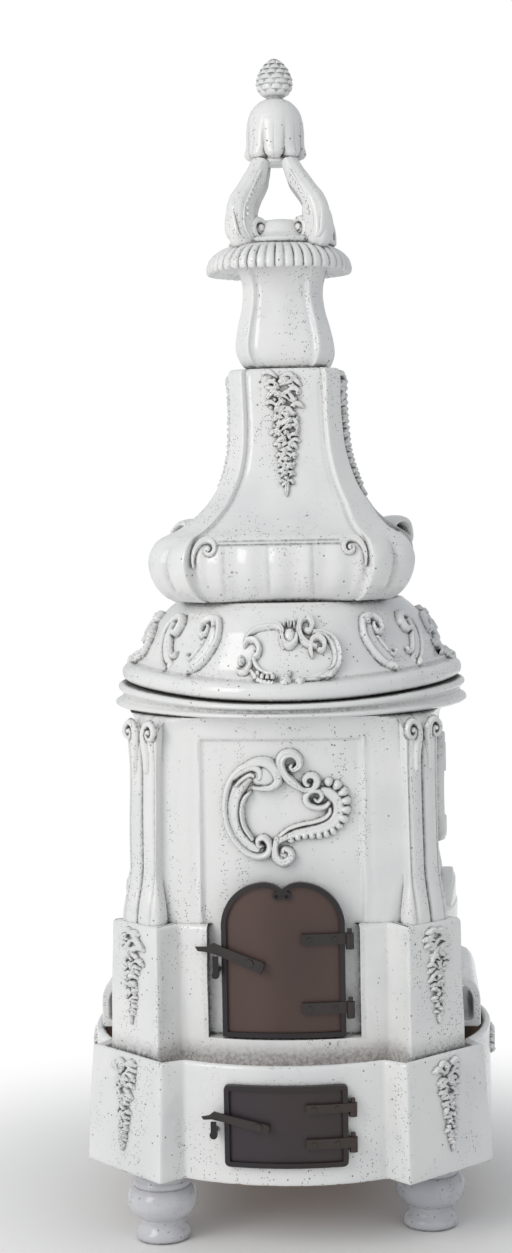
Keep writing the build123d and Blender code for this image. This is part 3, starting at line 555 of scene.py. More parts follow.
def plan_ring(plan, soft, columns):
    """One level of a tier: points with softened corners, in a fixed order of columns."""
    a, b, p, q, s = plan
    radius = (p * p + s * s) / (2 * s)
    reach = math.asin(p / radius)
    turn = np.linspace(-reach, reach, max(8, int(2 * p)))
    panel = np.stack([radius * np.sin(turn), radius - q - s - radius * np.cos(turn)], 1)
    stops = [panel]
    for first, second in (((p, -q), (b, -a)), ((b, -a), (a, -b)), ((a, -b), (q, -p))):
        count = max(4, int(math.dist(first, second)))
        t = np.linspace(0, 1, count)[:, None]
        stops.append(np.array(first) + t * (np.array(second) - np.array(first)))
    quarter = np.vstack([part[:-1] for part in stops])
    ends = np.cumsum([0] + [len(part) - 1 for part in stops])
    full = []
    for k in range(4):
        c, t = (1, 0, -1, 0)[k], (0, 1, 0, -1)[k]
        full.append(quarter @ np.array([[c, t], [-t, c]]))
    full = np.vstack(full)
    closed = np.vstack([full, full[:1]])
    along = lengths(closed)
    length = along[-1]
    count = int(length)
    even = np.arange(count) * length / count
    line = np.stack([np.interp(even, along, closed[:, k]) for k in range(2)], 1)
    wave = np.fft.fftfreq(count, length / count)
    damp = np.exp(-2 * (math.pi * wave * soft) ** 2)[:, None]
    line = np.real(np.fft.ifft(np.fft.fft(line, axis=0) * damp, axis=0))
    share = (np.arcsin(np.clip(columns / radius, -1, 1)) / reach + 1) / 2
    ease = [share]
    for number in BESIDE_PANEL:
        t = np.linspace(0, 1, number + 1)[:-1]
        ease.append(t * t * (3 - 2 * t) * 0.5 + t * 0.5)
    wanted = []
    for k in range(4):
        base = k * ends[-1]
        for index, t in enumerate(ease):
            low, high = along[base + ends[index]], along[base + ends[index + 1]]
            part = t[:-1] if index == 0 else t
            wanted.append(low + part * (high - low))
    wanted = np.concatenate(wanted) % length
    return np.stack([np.interp(wanted, np.append(even, length), np.append(line[:, k], line[0, k]))
                     for k in range(2)], 1)


def ring_kinds(columns):
    """What part of the plan each column of points is on, and which quarter."""
    kinds, quarters = [], []
    counts = (len(columns) - 1,) + BESIDE_PANEL
    for k in range(4):
        for kind, count in enumerate(counts):
            kinds += [kind] * count
            quarters += [k] * count
    return np.array(kinds), np.array(quarters)


class Tier:
    """The outside of one tier as a grid of points that features are then pressed into."""

    def __init__(self, heights, plans, soft=None, columns=None):
        soft = soft if soft is not None else shape().corner_softness / MM
        self.z = np.asarray(heights, float)
        self.columns = columns if columns is not None else panel_columns(plans[0][2])
        self.kind, self.quarter = ring_kinds(self.columns)
        rings = [plan_ring(plan, soft, self.columns * plan[2] / plans[0][2]) for plan in plans]
        self.xy = np.array(rings)
        self.height = np.repeat(self.z[:, None], self.xy.shape[1], 1)
        turn = -self.quarter * math.pi / 2
        self.local_x = self.xy[..., 0] * np.cos(turn) - self.xy[..., 1] * np.sin(turn)
        self.local_y = self.xy[..., 0] * np.sin(turn) + self.xy[..., 1] * np.cos(turn)
        self.across = np.where(self.kind == PANEL, self.local_x, (self.local_x + self.local_y) / ROOT_TWO)
        self.out = normals(np.roll(self.xy, -1, 1) - np.roll(self.xy, 1, 1))
        # grime holds painted shade for creases, recesses and joints; chip marks chipped glaze.
        self.grime_and_shade = np.zeros(self.height.shape)
        self.chip = np.zeros(self.height.shape)

    def push(self, amount):
        self.xy = self.xy + self.out * np.asarray(amount)[..., None]

    def set_front(self, mask, y):
        """Moves points of a panel to a given local y, in part where the mask is between 0 and 1."""
        share = np.asarray(mask, float)
        mask = share > 0
        local_y = self.local_y + share * (y - self.local_y)
        turn = self.quarter * math.pi / 2
        x = self.local_x * np.cos(turn) - local_y * np.sin(turn)
        y = self.local_x * np.sin(turn) + local_y * np.cos(turn)
        self.xy = np.where(mask[..., None], np.stack([x, y], -1), self.xy)

    def wave(self, seed, scale=1.0):
        size = shape().hand_wave / MM * scale
        angle = np.arctan2(self.xy[..., 1], self.xy[..., 0])
        z = self.height
        self.push(size * (np.sin(3 * angle + z / 71 + seed) * np.sin(z / 43 - 5 * angle + 2 * seed)
                          + 0.5 * np.sin(11 * angle + seed) * np.sin(z / 29 + 3 * seed)))

    def points(self):
        return np.concatenate([self.xy, self.height[..., None]], -1)


def octagon_ring(size, like, z):
    """A ring on an octagon, with its points on the same rays as another ring."""
    flat, diagonal = size
    angle = np.arctan2(like[:, 1], like[:, 0])
    away = np.minimum(flat / np.maximum(np.abs(np.cos(angle)), 1e-6),
                      flat / np.maximum(np.abs(np.sin(angle)), 1e-6))
    folded = np.abs(np.mod(angle, math.pi / 2) - math.pi / 4)
    away = np.minimum(away, diagonal / np.cos(folded))
    return np.stack([away * np.cos(angle), away * np.sin(angle), np.full(len(angle), float(z))], -1)


def offset_ring(points, amount, z):
    """A ring moved along its own normals."""
    xy = points[:, :2]
    out = xy + normals(np.roll(xy, -2, 0) - np.roll(xy, 2, 0)) * amount
    return np.column_stack([out, np.full(len(out), float(z))])


def shell_mesh(name, tier, after, cutters=()):
    """A closed hollow tier: its outside, then rings that go back down inside it."""
    outside = tier.points()
    rings = list(outside) + list(after)
    rows, cols = len(rings), outside.shape[1]
    grime_and_shade = np.zeros((rows, cols))
    chip = np.zeros((rows, cols))
    grime_and_shade[:len(outside)] = tier.grime_and_shade
    chip[:len(outside)] = tier.chip
    faces = grid_faces(rows, cols, True, True)
    mesh = mesh_from(name, np.array(rings), faces, {"grime_and_shade": grime_and_shade, "chip": chip})
    return cut(mesh, cutters) if cutters else mesh


def blend(low, high, t):
    """Plans part way from a low one to a high one."""
    t = np.asarray(t, float)[..., None]
    return np.asarray(low) * (1 - t) + np.asarray(high) * t


def step_up(value, low, high):
    """0 below low, 1 above high and a soft rise between."""
    t = np.clip((np.asarray(value, float) - low) / (high - low), 0, 1)
    return t * t * (3 - 2 * t)


def normals(steps):
    """Unit vectors a quarter turn to the right of the given ones."""
    steps = steps / np.linalg.norm(steps, axis=-1, keepdims=True)
    return np.stack([steps[..., 1], -steps[..., 0]], -1)


def lengths(path):
    """How far along a path each of its points lies."""
    return np.concatenate([[0], np.cumsum(np.linalg.norm(np.diff(path, axis=0), axis=1))])


def crowned(x, p, q, s):
    """The y of a crowned panel that faces -Y, with ends (p, q) and a crown of s."""
    r = (p * p + s * s) / (2 * s)
    return r - q - s - np.sqrt(np.maximum(r * r - x * x, 1))


def groove(distance, width, depth):
    """A rounded furrow about distance 0."""
    return -depth * np.exp(-(np.asarray(distance) / width) ** 2)


# ==== modelled relief ===================================================================
class Relief:
    """A height field over x and z in which strokes are laid like rolls and beads of clay."""

    def __init__(self, x_low, x_high, z_low, z_high):
        step = shape().relief_step / MM
        self.x = np.arange(x_low, x_high + step, step)
        self.z = np.arange(z_low, z_high + step, step)
        self.step = step
        self.high = np.full((len(self.z), len(self.x)), RELIEF_NONE)

    def near(self, points, margin):
        """The cells near a line: their window, distance from it, way along it and half width there."""
        line = smooth_line(points, 0.8)
        margin = line[:, 2].max() * 1.5 + margin
        x_low, x_high = line[:, 0].min() - margin, line[:, 0].max() + margin
        z_low, z_high = line[:, 1].min() - margin, line[:, 1].max() + margin
        cols = np.where((self.x >= x_low) & (self.x <= x_high))[0]
        rows = np.where((self.z >= z_low) & (self.z <= z_high))[0]
        if not len(cols) or not len(rows):
            return None
        window = np.ix_(rows, cols)
        gx, gz = np.meshgrid(self.x[cols], self.z[rows])
        cells = np.stack([gx.ravel(), gz.ravel()], 1).astype(np.float32)
        path = line[:, :2].astype(np.float32)
        nearest = np.empty(len(cells), int)
        chunk = max(1, 3000000 // len(path))
        for start in range(0, len(cells), chunk):
            part = cells[start:start + chunk]
            gap = (part[:, None, 0] - path[None, :, 0]) ** 2 + (part[:, None, 1] - path[None, :, 1]) ** 2
            nearest[start:start + chunk] = gap.argmin(1)
        tangent = np.gradient(path, axis=0)
        tangent /= np.linalg.norm(tangent, axis=1, keepdims=True) + 1e-9
        along = lengths(path)
        offset = cells - path[nearest]
        t = tangent[nearest]
        side = np.sign(t[:, 0] * offset[:, 1] - t[:, 1] * offset[:, 0])
        distance = np.linalg.norm(offset, axis=1) * np.where(side == 0, 1, side)
        half = np.maximum(line[nearest, 2], 0.4)
        return window, *(each.reshape(gx.shape) for each in (distance, along[nearest], half))

    def stroke(self, points, high, ridges=0.0, ruffle=0.0, pitch=8.0, side=0, power=0.55, tip=0.35):
        """A roll of clay along points (x, z, half width), with ridges and ruffles pressed into it."""
        found = self.near(points, 4)
        if found is None:
            return
        window, distance, along, half = found
        total = along.max()
        lobe = np.abs(np.cos(math.pi * along / pitch))
        outer = np.clip(np.sign(distance) * side, 0, 1) if side else 1.0
        half = half * (1 - ruffle * 0.35 * outer * (1 - lobe))
        d = distance / half
        inside = np.abs(d) < 1
        ends = np.clip(np.minimum(along, total - along) / (half * tip + 0.1), 0, 1)
        body = np.power(np.clip(1 - d * d, 0, 1), power)
        body = body * (1 - 0.30 * ridges * (0.5 + 0.5 * np.cos(2 * math.pi * d)))
        body = body * (1 - ruffle * 0.55 * outer * (1 - lobe) ** 2 * np.abs(np.clip(d, -1, 1)))
        grown = 0.55 + 0.45 * np.sqrt(ends)
        value = np.where(inside, high * body * grown, -(np.abs(d) - 1) * half * 0.9)
        self.high[window] = np.maximum(self.high[window], np.maximum(value, RELIEF_NONE))

    def beads(self, points, high, pitch):
        """A row of beads along points (x, z, half width), one to each pitch."""
        found = self.near(points, 3)
        if found is None:
            return
        window, distance, along, half = found
        phase = (np.mod(along, pitch) / pitch - 0.5) * 2
        reach = (distance / half) ** 2 + phase ** 2 * 0.9
        value = np.where(reach < 1, high * np.sqrt(np.clip(1 - reach, 0, 1)),
                         -(np.sqrt(reach) - 1) * half * 0.6)
        self.high[window] = np.maximum(self.high[window], np.maximum(value, RELIEF_NONE))

    def dome(self, x, z, wide, tall, high, petals=0, turn=0.0):
        """A boss, with petals pressed into it if asked."""
        gx, gz = np.meshgrid(self.x - x, self.z - z)
        c, s = math.cos(math.radians(turn)), math.sin(math.radians(turn))
        u, v = (gx * c + gz * s) / wide, (-gx * s + gz * c) / tall
        r = np.sqrt(u * u + v * v)
        angle = np.arctan2(v, u)
        value = high * np.sqrt(np.clip(1 - r * r, 0, 1))
        if petals:
            lobes = np.abs(np.cos(petals * angle / 2))
            value = value * (1 - 0.42 * (1 - lobes) ** 2 * np.clip(r * 1.8, 0, 1))
        size = min(wide, tall)
        value = np.where(r < 1, value, -(r - 1) * size * 0.9)
        self.high = np.maximum(self.high, np.maximum(value, RELIEF_NONE))

    def hollow_shade(self):
        """Where grime gathers: the hollows between rolls and the foot of each."""
        body = np.maximum(self.high, 0)
        near = soften(body, 1.6 / self.step)
        wide = soften(body, 4.0 / self.step)
        dark = np.clip((near - body - 0.25) / 1.5, 0, 1) + 0.5 * np.clip((wide - body - 0.5) / 3.0, 0, 1)
        return np.clip(dark, 0, 1)

    def mesh(self, name, carrier, turns, scale=1.0):
        """The relief on its carrier, without what lies under the surface, repeated about the axis."""
        gx, gz = np.meshgrid(self.x, self.z)
        grime_and_shade = self.hollow_shade()
        faces = grid_faces(len(self.z), len(self.x))
        high = self.high.ravel()
        faces = faces[high[faces].max(1) > RELIEF_EDGE]
        points = carrier(gx, gz, np.maximum(self.high, RELIEF_ROOT) * scale).reshape(-1, 3)
        all_points, all_faces, all_grime_and_shade = [], [], []
        for index, angle in enumerate(turns):
            all_points.append(turned_copy(points, angle))
            all_faces.append(faces + index * len(points))
            all_grime_and_shade.append(grime_and_shade.ravel())
        marks = {"grime_and_shade": np.concatenate(all_grime_and_shade)}
        return mesh_from(name, np.vstack(all_points), np.vstack(all_faces), marks, 75.0)


def soften(field, sigma):
    """A blurred copy of a height field."""
    reach = max(1, int(3 * sigma))
    weight = np.exp(-0.5 * (np.arange(-reach, reach + 1) / sigma) ** 2)
    weight /= weight.sum()
    out = np.pad(field, reach, mode="edge")
    out = sum(w * out[:, i:i + field.shape[1]] for i, w in enumerate(weight))
    return sum(w * out[i:i + field.shape[0]] for i, w in enumerate(weight))


# ---- what carries the relief ----
def on_field(x, z, high):
    """The sunk field of an upper panel, facing -Y."""
    angle = x / FIELD_R
    r = FIELD_R + high
    return np.stack([r * np.sin(angle), FIELD_YC - r * np.cos(angle), z], -1)


def on_face(low, high_plan, z_low, z_high, bulge=None):
    """A pilaster's face, in its own frame facing -Y; turn it by 45 degrees to its place."""
    def carrier(x, z, high):
        t = np.clip((z - z_low) / (z_high - z_low), 0, 1)
        away = ((low[0] + low[1]) * (1 - t) + (high_plan[0] + high_plan[1]) * t) / ROOT_TWO
        if bulge is not None:
            away = away + bulge(z)
        return np.stack([x, -(away + high), z], -1)
    return carrier


def on_panel(low, high_plan, z_low, z_high):
    """A crowned panel of a tier, facing -Y."""
    def carrier(x, z, high):
        t = np.clip((z - z_low) / (z_high - z_low), 0, 1)
        ends = ((low[k] * (1 - t) + high_plan[k] * t) for k in (2, 3, 4))
        return np.stack([x, crowned(x, *ends) - high, z], -1)
    return carrier


def on_turned(profile):
    """A turned slope: x runs round it and z up it."""
    profile = np.asarray(profile, float)
    def carrier(x, z, high):
        r = np.interp(z, profile[:, 1], profile[:, 0])
        slope = (np.interp(z + 2, profile[:, 1], profile[:, 0])
                 - np.interp(z - 2, profile[:, 1], profile[:, 0])) / 4
        size = np.sqrt(1 + slope * slope)
        r_out = r + high / size
        angle = x / np.maximum(r, 200.0)
        return np.stack([r_out * np.sin(angle), -r_out * np.cos(angle), z - high * slope / size], -1)
    return carrier


# ==== the tiers =========================================================================
def bulge_of_upper(z):
    """The upper pilasters kick out at the foot and a little at the head."""
    z = np.asarray(z, float)
    return 13.0 * (1 - step_up(z, 590, 690)) + 3.5 * step_up(z, 860, 940)


def build_feet():
    profile = [(0, 0), (44, 0), (47.5, 1.5), (49.5, 5), (50.2, 10), (49, 16), (45.6, 21), (42.2, 26),
               (40.8, 30), (41.2, 34), (43.5, 38), (42.6, 40), (45.5, 43), (52, 48), (58.5, 55), (63, 63),
               (65.2, 72), (65, 79), (62.5, 87), (58, 94), (52.6, 98.5), (50.6, 100), (53.8, 103),
               (54.4, 108), (52.8, 112), (51.2, 113.5), (51.4, 120), (49, 128), (46, Z_FOOT_TOP),
               (0, Z_FOOT_TOP)]
    for number, place in enumerate(("front_left", "front_right", "rear_left", "rear_right")):
        low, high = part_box("foot_" + place)
        x, y = (low[0] + high[0]) / 2 / MM, (low[1] + high[1]) / 2 / MM

        def change(radius, height, angle, seed=number * 1.7):
            wobble = 0.7 * np.sin(2 * angle + seed) + 0.4 * np.sin(5 * angle + height / 17 + seed)
            inside = (height > 1) & (height < Z_FOOT_TOP - 4)
            return radius + wobble * inside * (radius < 64.5), height
        points, faces = lathe(profile_line(profile, 3.0), 72, change)
        points = points + np.array([x, y, 0])
        chip = np.where(points[:, 2] < 2, 0.25, 0.0)
        mesh = mesh_from("turned_foot_" + place, points, faces, {"chip": chip}, 60.0)
        piece("turned_foot_" + place, mesh, "foot_" + place, finish="grey_glaze")


def build_plinth():
    heights = np.concatenate([[Z_FOOT_TOP, 135.2, 137.5, 141], np.arange(147, 330, 8),
                              np.linspace(332, 343, 4),
                              [345.5, 347.6, 349.2, Z_PLINTH_TOP]])
    t = (heights - Z_FOOT_TOP) / (Z_PLINTH_TOP - Z_FOOT_TOP)
    tier = Tier(heights, blend(PLINTH_LOW, PLINTH_HIGH, np.clip(t, 0, 1)))
    z = tier.height
    tier.push(np.interp(z, [Z_FOOT_TOP, 135.2, 137.5, 141, 343, 345.5, 347.6, 349.2, Z_PLINTH_TOP],
                        [-3.0, -1.2, -0.3, 0, 0, -0.5, -1.6, -3.3, -5.2]))
    tier.wave(0.4, 1.2)
    edge = np.interp(z, [Z_FOOT_TOP, 137, 144], [0.62, 0.42, 0.0])
    tier.chip = edge + 0.34 * step_up(z, 346, 349.5) * 0.6
    top = tier.points()[-1]
    inner = offset_ring(top, -5.5, Z_PLINTH_TOP - 0.8)
    wall = offset_ring(top, -9.8, Z_PLINTH_TOP - 5)
    after = [offset_ring(top, -2.8, Z_PLINTH_TOP), inner, wall, offset_ring(top, -9.8, Z_DECK_LOW),
             octagon_ring(PIT, top, Z_DECK_LOW), octagon_ring(PIT, top, Z_FOOT_TOP + 18),
             octagon_ring(HATCH, top, Z_FOOT_TOP + 18), octagon_ring(HATCH, top, Z_FOOT_TOP)]
    x_low, x_high, z_low, z_high = ASH_DOOR
    way = prism(rounded_box(x_low + 5, x_high - 5, z_low + 5, z_high - 5, 5), OPENING_FRONT, -305)
    mesh = shell_mesh("plinth", tier, after=after, cutters=[way])
    piece("glazed_plinth", mesh, "plinth_shell")


def niche_back(x):
    return FIELD_YC - np.sqrt(FIELD_R ** 2 - np.asarray(x) ** 2)


def build_lower_body():
    heights = np.concatenate([[Z_DECK_TOP], np.arange(338, 380, 8), [381, 382.4, 383.6, 385, 388],
                              np.arange(394, 572, 8),
                              [577, 580, 582.5, 584.5, 586, Z_LEDGE]])
    t = (heights - Z_DECK_TOP) / (Z_LEDGE - Z_DECK_TOP)
    tier = Tier(heights, blend(LOWER_LOW, LOWER_HIGH, t))
    z = tier.height
    tier.push(np.interp(z, [577, 580, 582.5, 584.5, 586, Z_LEDGE], [0, -0.3, -1.0, -2.2, -4.0, -6.5]))
    tier.wave(2.1, 1.3)
    tier.push(np.where(tier.kind == FACE, 1.2 * np.cos(tier.across / 36 * math.pi / 2), 0.0))
    front = (tier.kind == PANEL) & (tier.quarter == 0)
    inside = front & (np.abs(tier.across) < NICHE_HALF) & (z > 383)
    tier.set_front(inside, niche_back(tier.across) - 0.2)
    edge = front & (np.abs(np.abs(tier.across) - NICHE_HALF) < 9) & (z > 378)
    # Painted shade down the niche's side walls, along its floor and at its rim; the tier is also darker
    # towards the bottom, above the plinth.
    tier.grime_and_shade = (np.where(inside & (np.abs(tier.across) > 137.6), 0.8, 0.0)
                  + np.where(inside & (z < 386), 0.6, 0.0))
    tier.grime_and_shade = np.clip(tier.grime_and_shade + np.where(edge, 0.12, 0.0) + 0.55 * (1 - step_up(z, 344, 384)), 0, 1)
    top = tier.points()[-1]
    after = [octagon_ring(SHAFT, top, Z_LEDGE), octagon_ring(SHAFT, top, Z_DECK_TOP)]
    way = prism(fire_outline(5.0), OPENING_FRONT, -170)
    mesh = shell_mesh("lower_body", tier, after=after, cutters=[way])
    piece("glazed_lower_body", mesh, "lower_body_shell")


def build_upper_body():
    heights = np.concatenate([[Z_LEDGE], np.arange(592, 636, 6), [640, 642.5, 645, 648],
                              np.arange(654, 916, 6),
                              [919, 922, 924.5, 926.5, 929, 933], np.arange(938, 963, 4), [Z_LIP_LOW]])
    t = np.minimum((heights - Z_LEDGE) / (Z_BODY_TOP - Z_LEDGE), 1.0)
    tier = Tier(heights, blend(UPPER_LOW, UPPER_HIGH, t))
    z = tier.height
    across = tier.across
    on_pilaster = tier.kind == FACE
    returns = (tier.kind == RETURN_A) | (tier.kind == RETURN_B)
    tier.push(np.where(on_pilaster | returns, bulge_of_upper(z), 0.0))
    # Two rounded ribs on each pilaster, parted by a furrow, with thin furrows beside them.
    centre = (groove(across, 2.6, 6.0)
              + 3.2 * np.cos(np.clip((np.abs(across) - 17) / 17, -1, 1) * math.pi / 2))
    thin = groove(np.abs(across) - 34.5, 1.9, 2.6)
    fade = step_up(z, 590, 604)
    tier.push(np.where(on_pilaster, (centre + thin) * (0.45 + 0.55 * fade), 0.0))
    tier.wave(4.6, 1.1)
    panel = tier.kind == PANEL
    low_edge = np.where(tier.quarter == 0, Z_LEDGE - 5, 642.0)
    inside = panel & (np.abs(across) < FIELD_HALF) & (z > low_edge) & (z < FIELD_TOP)
    soft_edge = ((1 - step_up(np.abs(across), 139, 152)) * (1 - step_up(z, 917, 932))
                 * step_up(z, low_edge, low_edge + 5))
    tier.set_front(panel * soft_edge,
                   niche_back(across) + 0.25 * np.sin(z / 37) + 0.2 * np.sin(across / 31))
    rib = groove(np.abs(across) - 158, 3.0, 1.6) + 1.0 * np.exp(-((np.abs(across) - 151) / 3.0) ** 2)
    tier.push(np.where(panel & ~inside & (z < 935) & (z > 596), rib, 0.0))
    # Painted shade in the furrows of the pilasters, faintly at the field's sides and under its top edge.
    tier.grime_and_shade = np.clip(np.where(on_pilaster, np.exp(-(across / 2.2) ** 2) * 0.85
                                  + 0.35 * np.exp(-((np.abs(across) - 34.5) / 1.6) ** 2), 0.0)
                         + np.where(inside & (np.abs(across) > 143), 0.06, 0.0)
                         + np.where(inside & (z > FIELD_TOP - 5), 0.22, 0.0), 0, 1)
    tier.push(np.where(panel, 10.0 * np.clip((z - 936) / (Z_LIP_LOW - 936), 0, 1) ** 2, 0.0))
    reach = np.interp(z, [902, 930, 950, Z_LIP_LOW], [368, 366, 352, 331])
    away = np.linalg.norm(tier.xy, axis=-1)
    tier.xy = tier.xy * np.minimum(1.0, np.where(z > 896, reach / away, 1.0))[..., None]
    top = tier.points()[-1]
    after = [octagon_ring(SHAFT, top, Z_LIP_LOW), octagon_ring(SHAFT, top, Z_LEDGE)]
    way = prism(fire_outline(5.0), OPENING_FRONT, -170)
    turn = np.linspace(0, 2 * math.pi, 48, endpoint=False)
    flue = prism([(66 * math.cos(a), FLUE_Z + 66 * math.sin(a)) for a in turn], 200, 420)
    mesh = shell_mesh("upper_body", tier, after=after, cutters=[way, flue])
    piece("glazed_upper_body", mesh,
          "upper_body_front", "upper_body_right", "upper_body_rear", "upper_body_left")


CORNICE_PROFILE = [(236, Z_LIP_LOW), (300, Z_LIP_LOW), (313, 965.3), (323, 966.2), (331, 967.8), (336, 970),
                   (338.6, 972.2), (339, 974.6), (338.2, 977.2), (335, 979.8), (329, 982.5), (326.4, 985),
                   (325.6, 988.5), (326.6, 992), (330, 995), (333.4, 998.5), (334.6, 1002), (333.4, 1005.5),
                   (330, 1008.2), (325, 1009.6), (316, 1010.2), (236, 1010.2)]
FRIEZE_PROFILE = [(262, 1012.5), (306, 1012.5), (315, 1013.6), (321, 1016), (325, 1020), (326.8, 1025.5),
                  (327, 1031), (325.4, 1036.6), (322, 1041), (317, 1044.4), (311, 1046.6), (305.6, 1047.6),
                  (303.4, 1048.8), (302.4, 1051), (301.6, 1054), (298, 1056.6), (293.4, 1060), (289.6, 1066),
                  (286, 1074), (281, 1085), (272, 1102), (262, 1121), (251, 1136), (240, 1148), (231, 1156.5),
                  (224, 1162), (220.4, 1164.4), (218.8, 1166.6), (216, 1168.4), (208, 1169), (150, 1169)]


def ring_mesh(name, profile, bore, change, dirt_and_shade, turns=256):
    """A turned ring: an outside profile closed by a bore."""
    line = profile_line(profile, 3.0)
    closed = np.array([(bore, line[0][1])] + line + [(bore, line[-1][1])])
    angles = np.linspace(0, 2 * math.pi, turns, endpoint=False)
    radius = np.repeat(closed[:, :1], turns, 1)
    height = np.repeat(closed[:, 1:], turns, 1)
    radius, height = change(radius, height, angles[None, :])
    points = np.stack([radius * np.cos(angles), radius * np.sin(angles), height], -1)
    faces = grid_faces(len(closed), turns, True, True)
    return mesh_from(name, points, faces, {"grime_and_shade": dirt_and_shade(radius, height)})


def build_cornice():
    def change(radius, height, angle):
        wobble = 0.9 * np.sin(3 * angle + 0.6) + 0.5 * np.sin(7 * angle + 2.0)
        return (radius + wobble * (radius > 300) * (radius < 338),
                height + 0.5 * np.sin(4 * angle + 1.0) * (radius > 300))

    # Painted shade in the crease of the profile, and on the top under the frieze a dark joint that is also
    # painted shade.
    def dirt_and_shade(radius, height):
        crease = np.exp(-((height - 988) / 3.0) ** 2) * (radius > 300) * 0.25
        return crease + 0.8 * (height > 1009.3) * (radius < 330)
    mesh = ring_mesh("cornice", CORNICE_PROFILE, 236, change, dirt_and_shade)
    piece("turned_cornice", mesh, "upper_cornice", tier="cornice")


def build_frieze():
    def change(radius, height, angle):
        wobble = 0.8 * np.sin(4 * angle + 1.9) + 0.5 * np.sin(9 * angle + 0.3)
        return radius + wobble * (radius > 240) * (radius < 333), height

    # Painted shade in the groove at the foot of the slope, and where the ring sits on the cornice a dark
    # joint that is also painted shade.
    def dirt_and_shade(radius, height):
        return np.exp(-((height - 1050) / 3.2) ** 2) * 0.4 + 0.9 * (height < 1013.2) * (radius > 290)
    mesh = ring_mesh("frieze", FRIEZE_PROFILE, 200, change, dirt_and_shade)
    piece("turned_frieze", mesh, "frieze_ring", tier="frieze")


# ==== neck, vase and rim =================================================================
# Each line: height, half width, corner, fall of the panel's ends, crown of the panel.
NECK = [(1170, 205, 140, 4, 12), (1180, 221, 152, 5, 13), (1198, 236, 162, 6, 14), (1220, 246, 169, 7, 14),
        (1244, 250, 172, 8, 14), (1262, 247, 170, 8, 14), (1279, 239, 165, 8, 13), (1289, 229, 159, 7, 11),
        (1296, 216, 151, 6, 9), (1304, 201, 142, 5, 8), (1316, 186, 132, 4, 7), (1334, 168, 121, 4, 6),
        (1362, 148, 107, 4, 5), (1400, 128, 92, 4, 5), (1450, 114, 81.5, 4, 5), (1500, 109.5, 78, 4, 5),
        (1545, 108.5, 78, 4, 5), (1580, 109.5, 78.5, 4, 5), (1596, 109, 78, 4, 5), (1603, 106, 76, 4, 5),
        (1605, 102, 72, 4, 5)]
SHOULDER_LINES = ((1276.0, 2.6), (1283.0, 2.6))    # height and depth
CUSHION_CREASES = (-102.0, -20.0, 61.0)


def square_plan(half, corner, fall, crown):
    """The plan of a square tier with crowned panels and cut corners."""
    return np.array([half, corner, corner - fall, half - fall - crown, crown])


def section_at(table, z):
    """Half width, corner, fall and crown of a table's plan at height z."""
    line = smooth_line(table, 1.0)
    order = np.argsort(line[:, 0])
    return [np.interp(z, line[order, 0], line[order, k]) for k in range(1, 5)]


def neck_front(x, z):
    """The y of the neck's front panel."""
    half, corner, fall, crown = (value.reshape(z.shape) for value in section_at(NECK, z.ravel()))
    return crowned(x, corner - fall, half - fall - crown, crown)


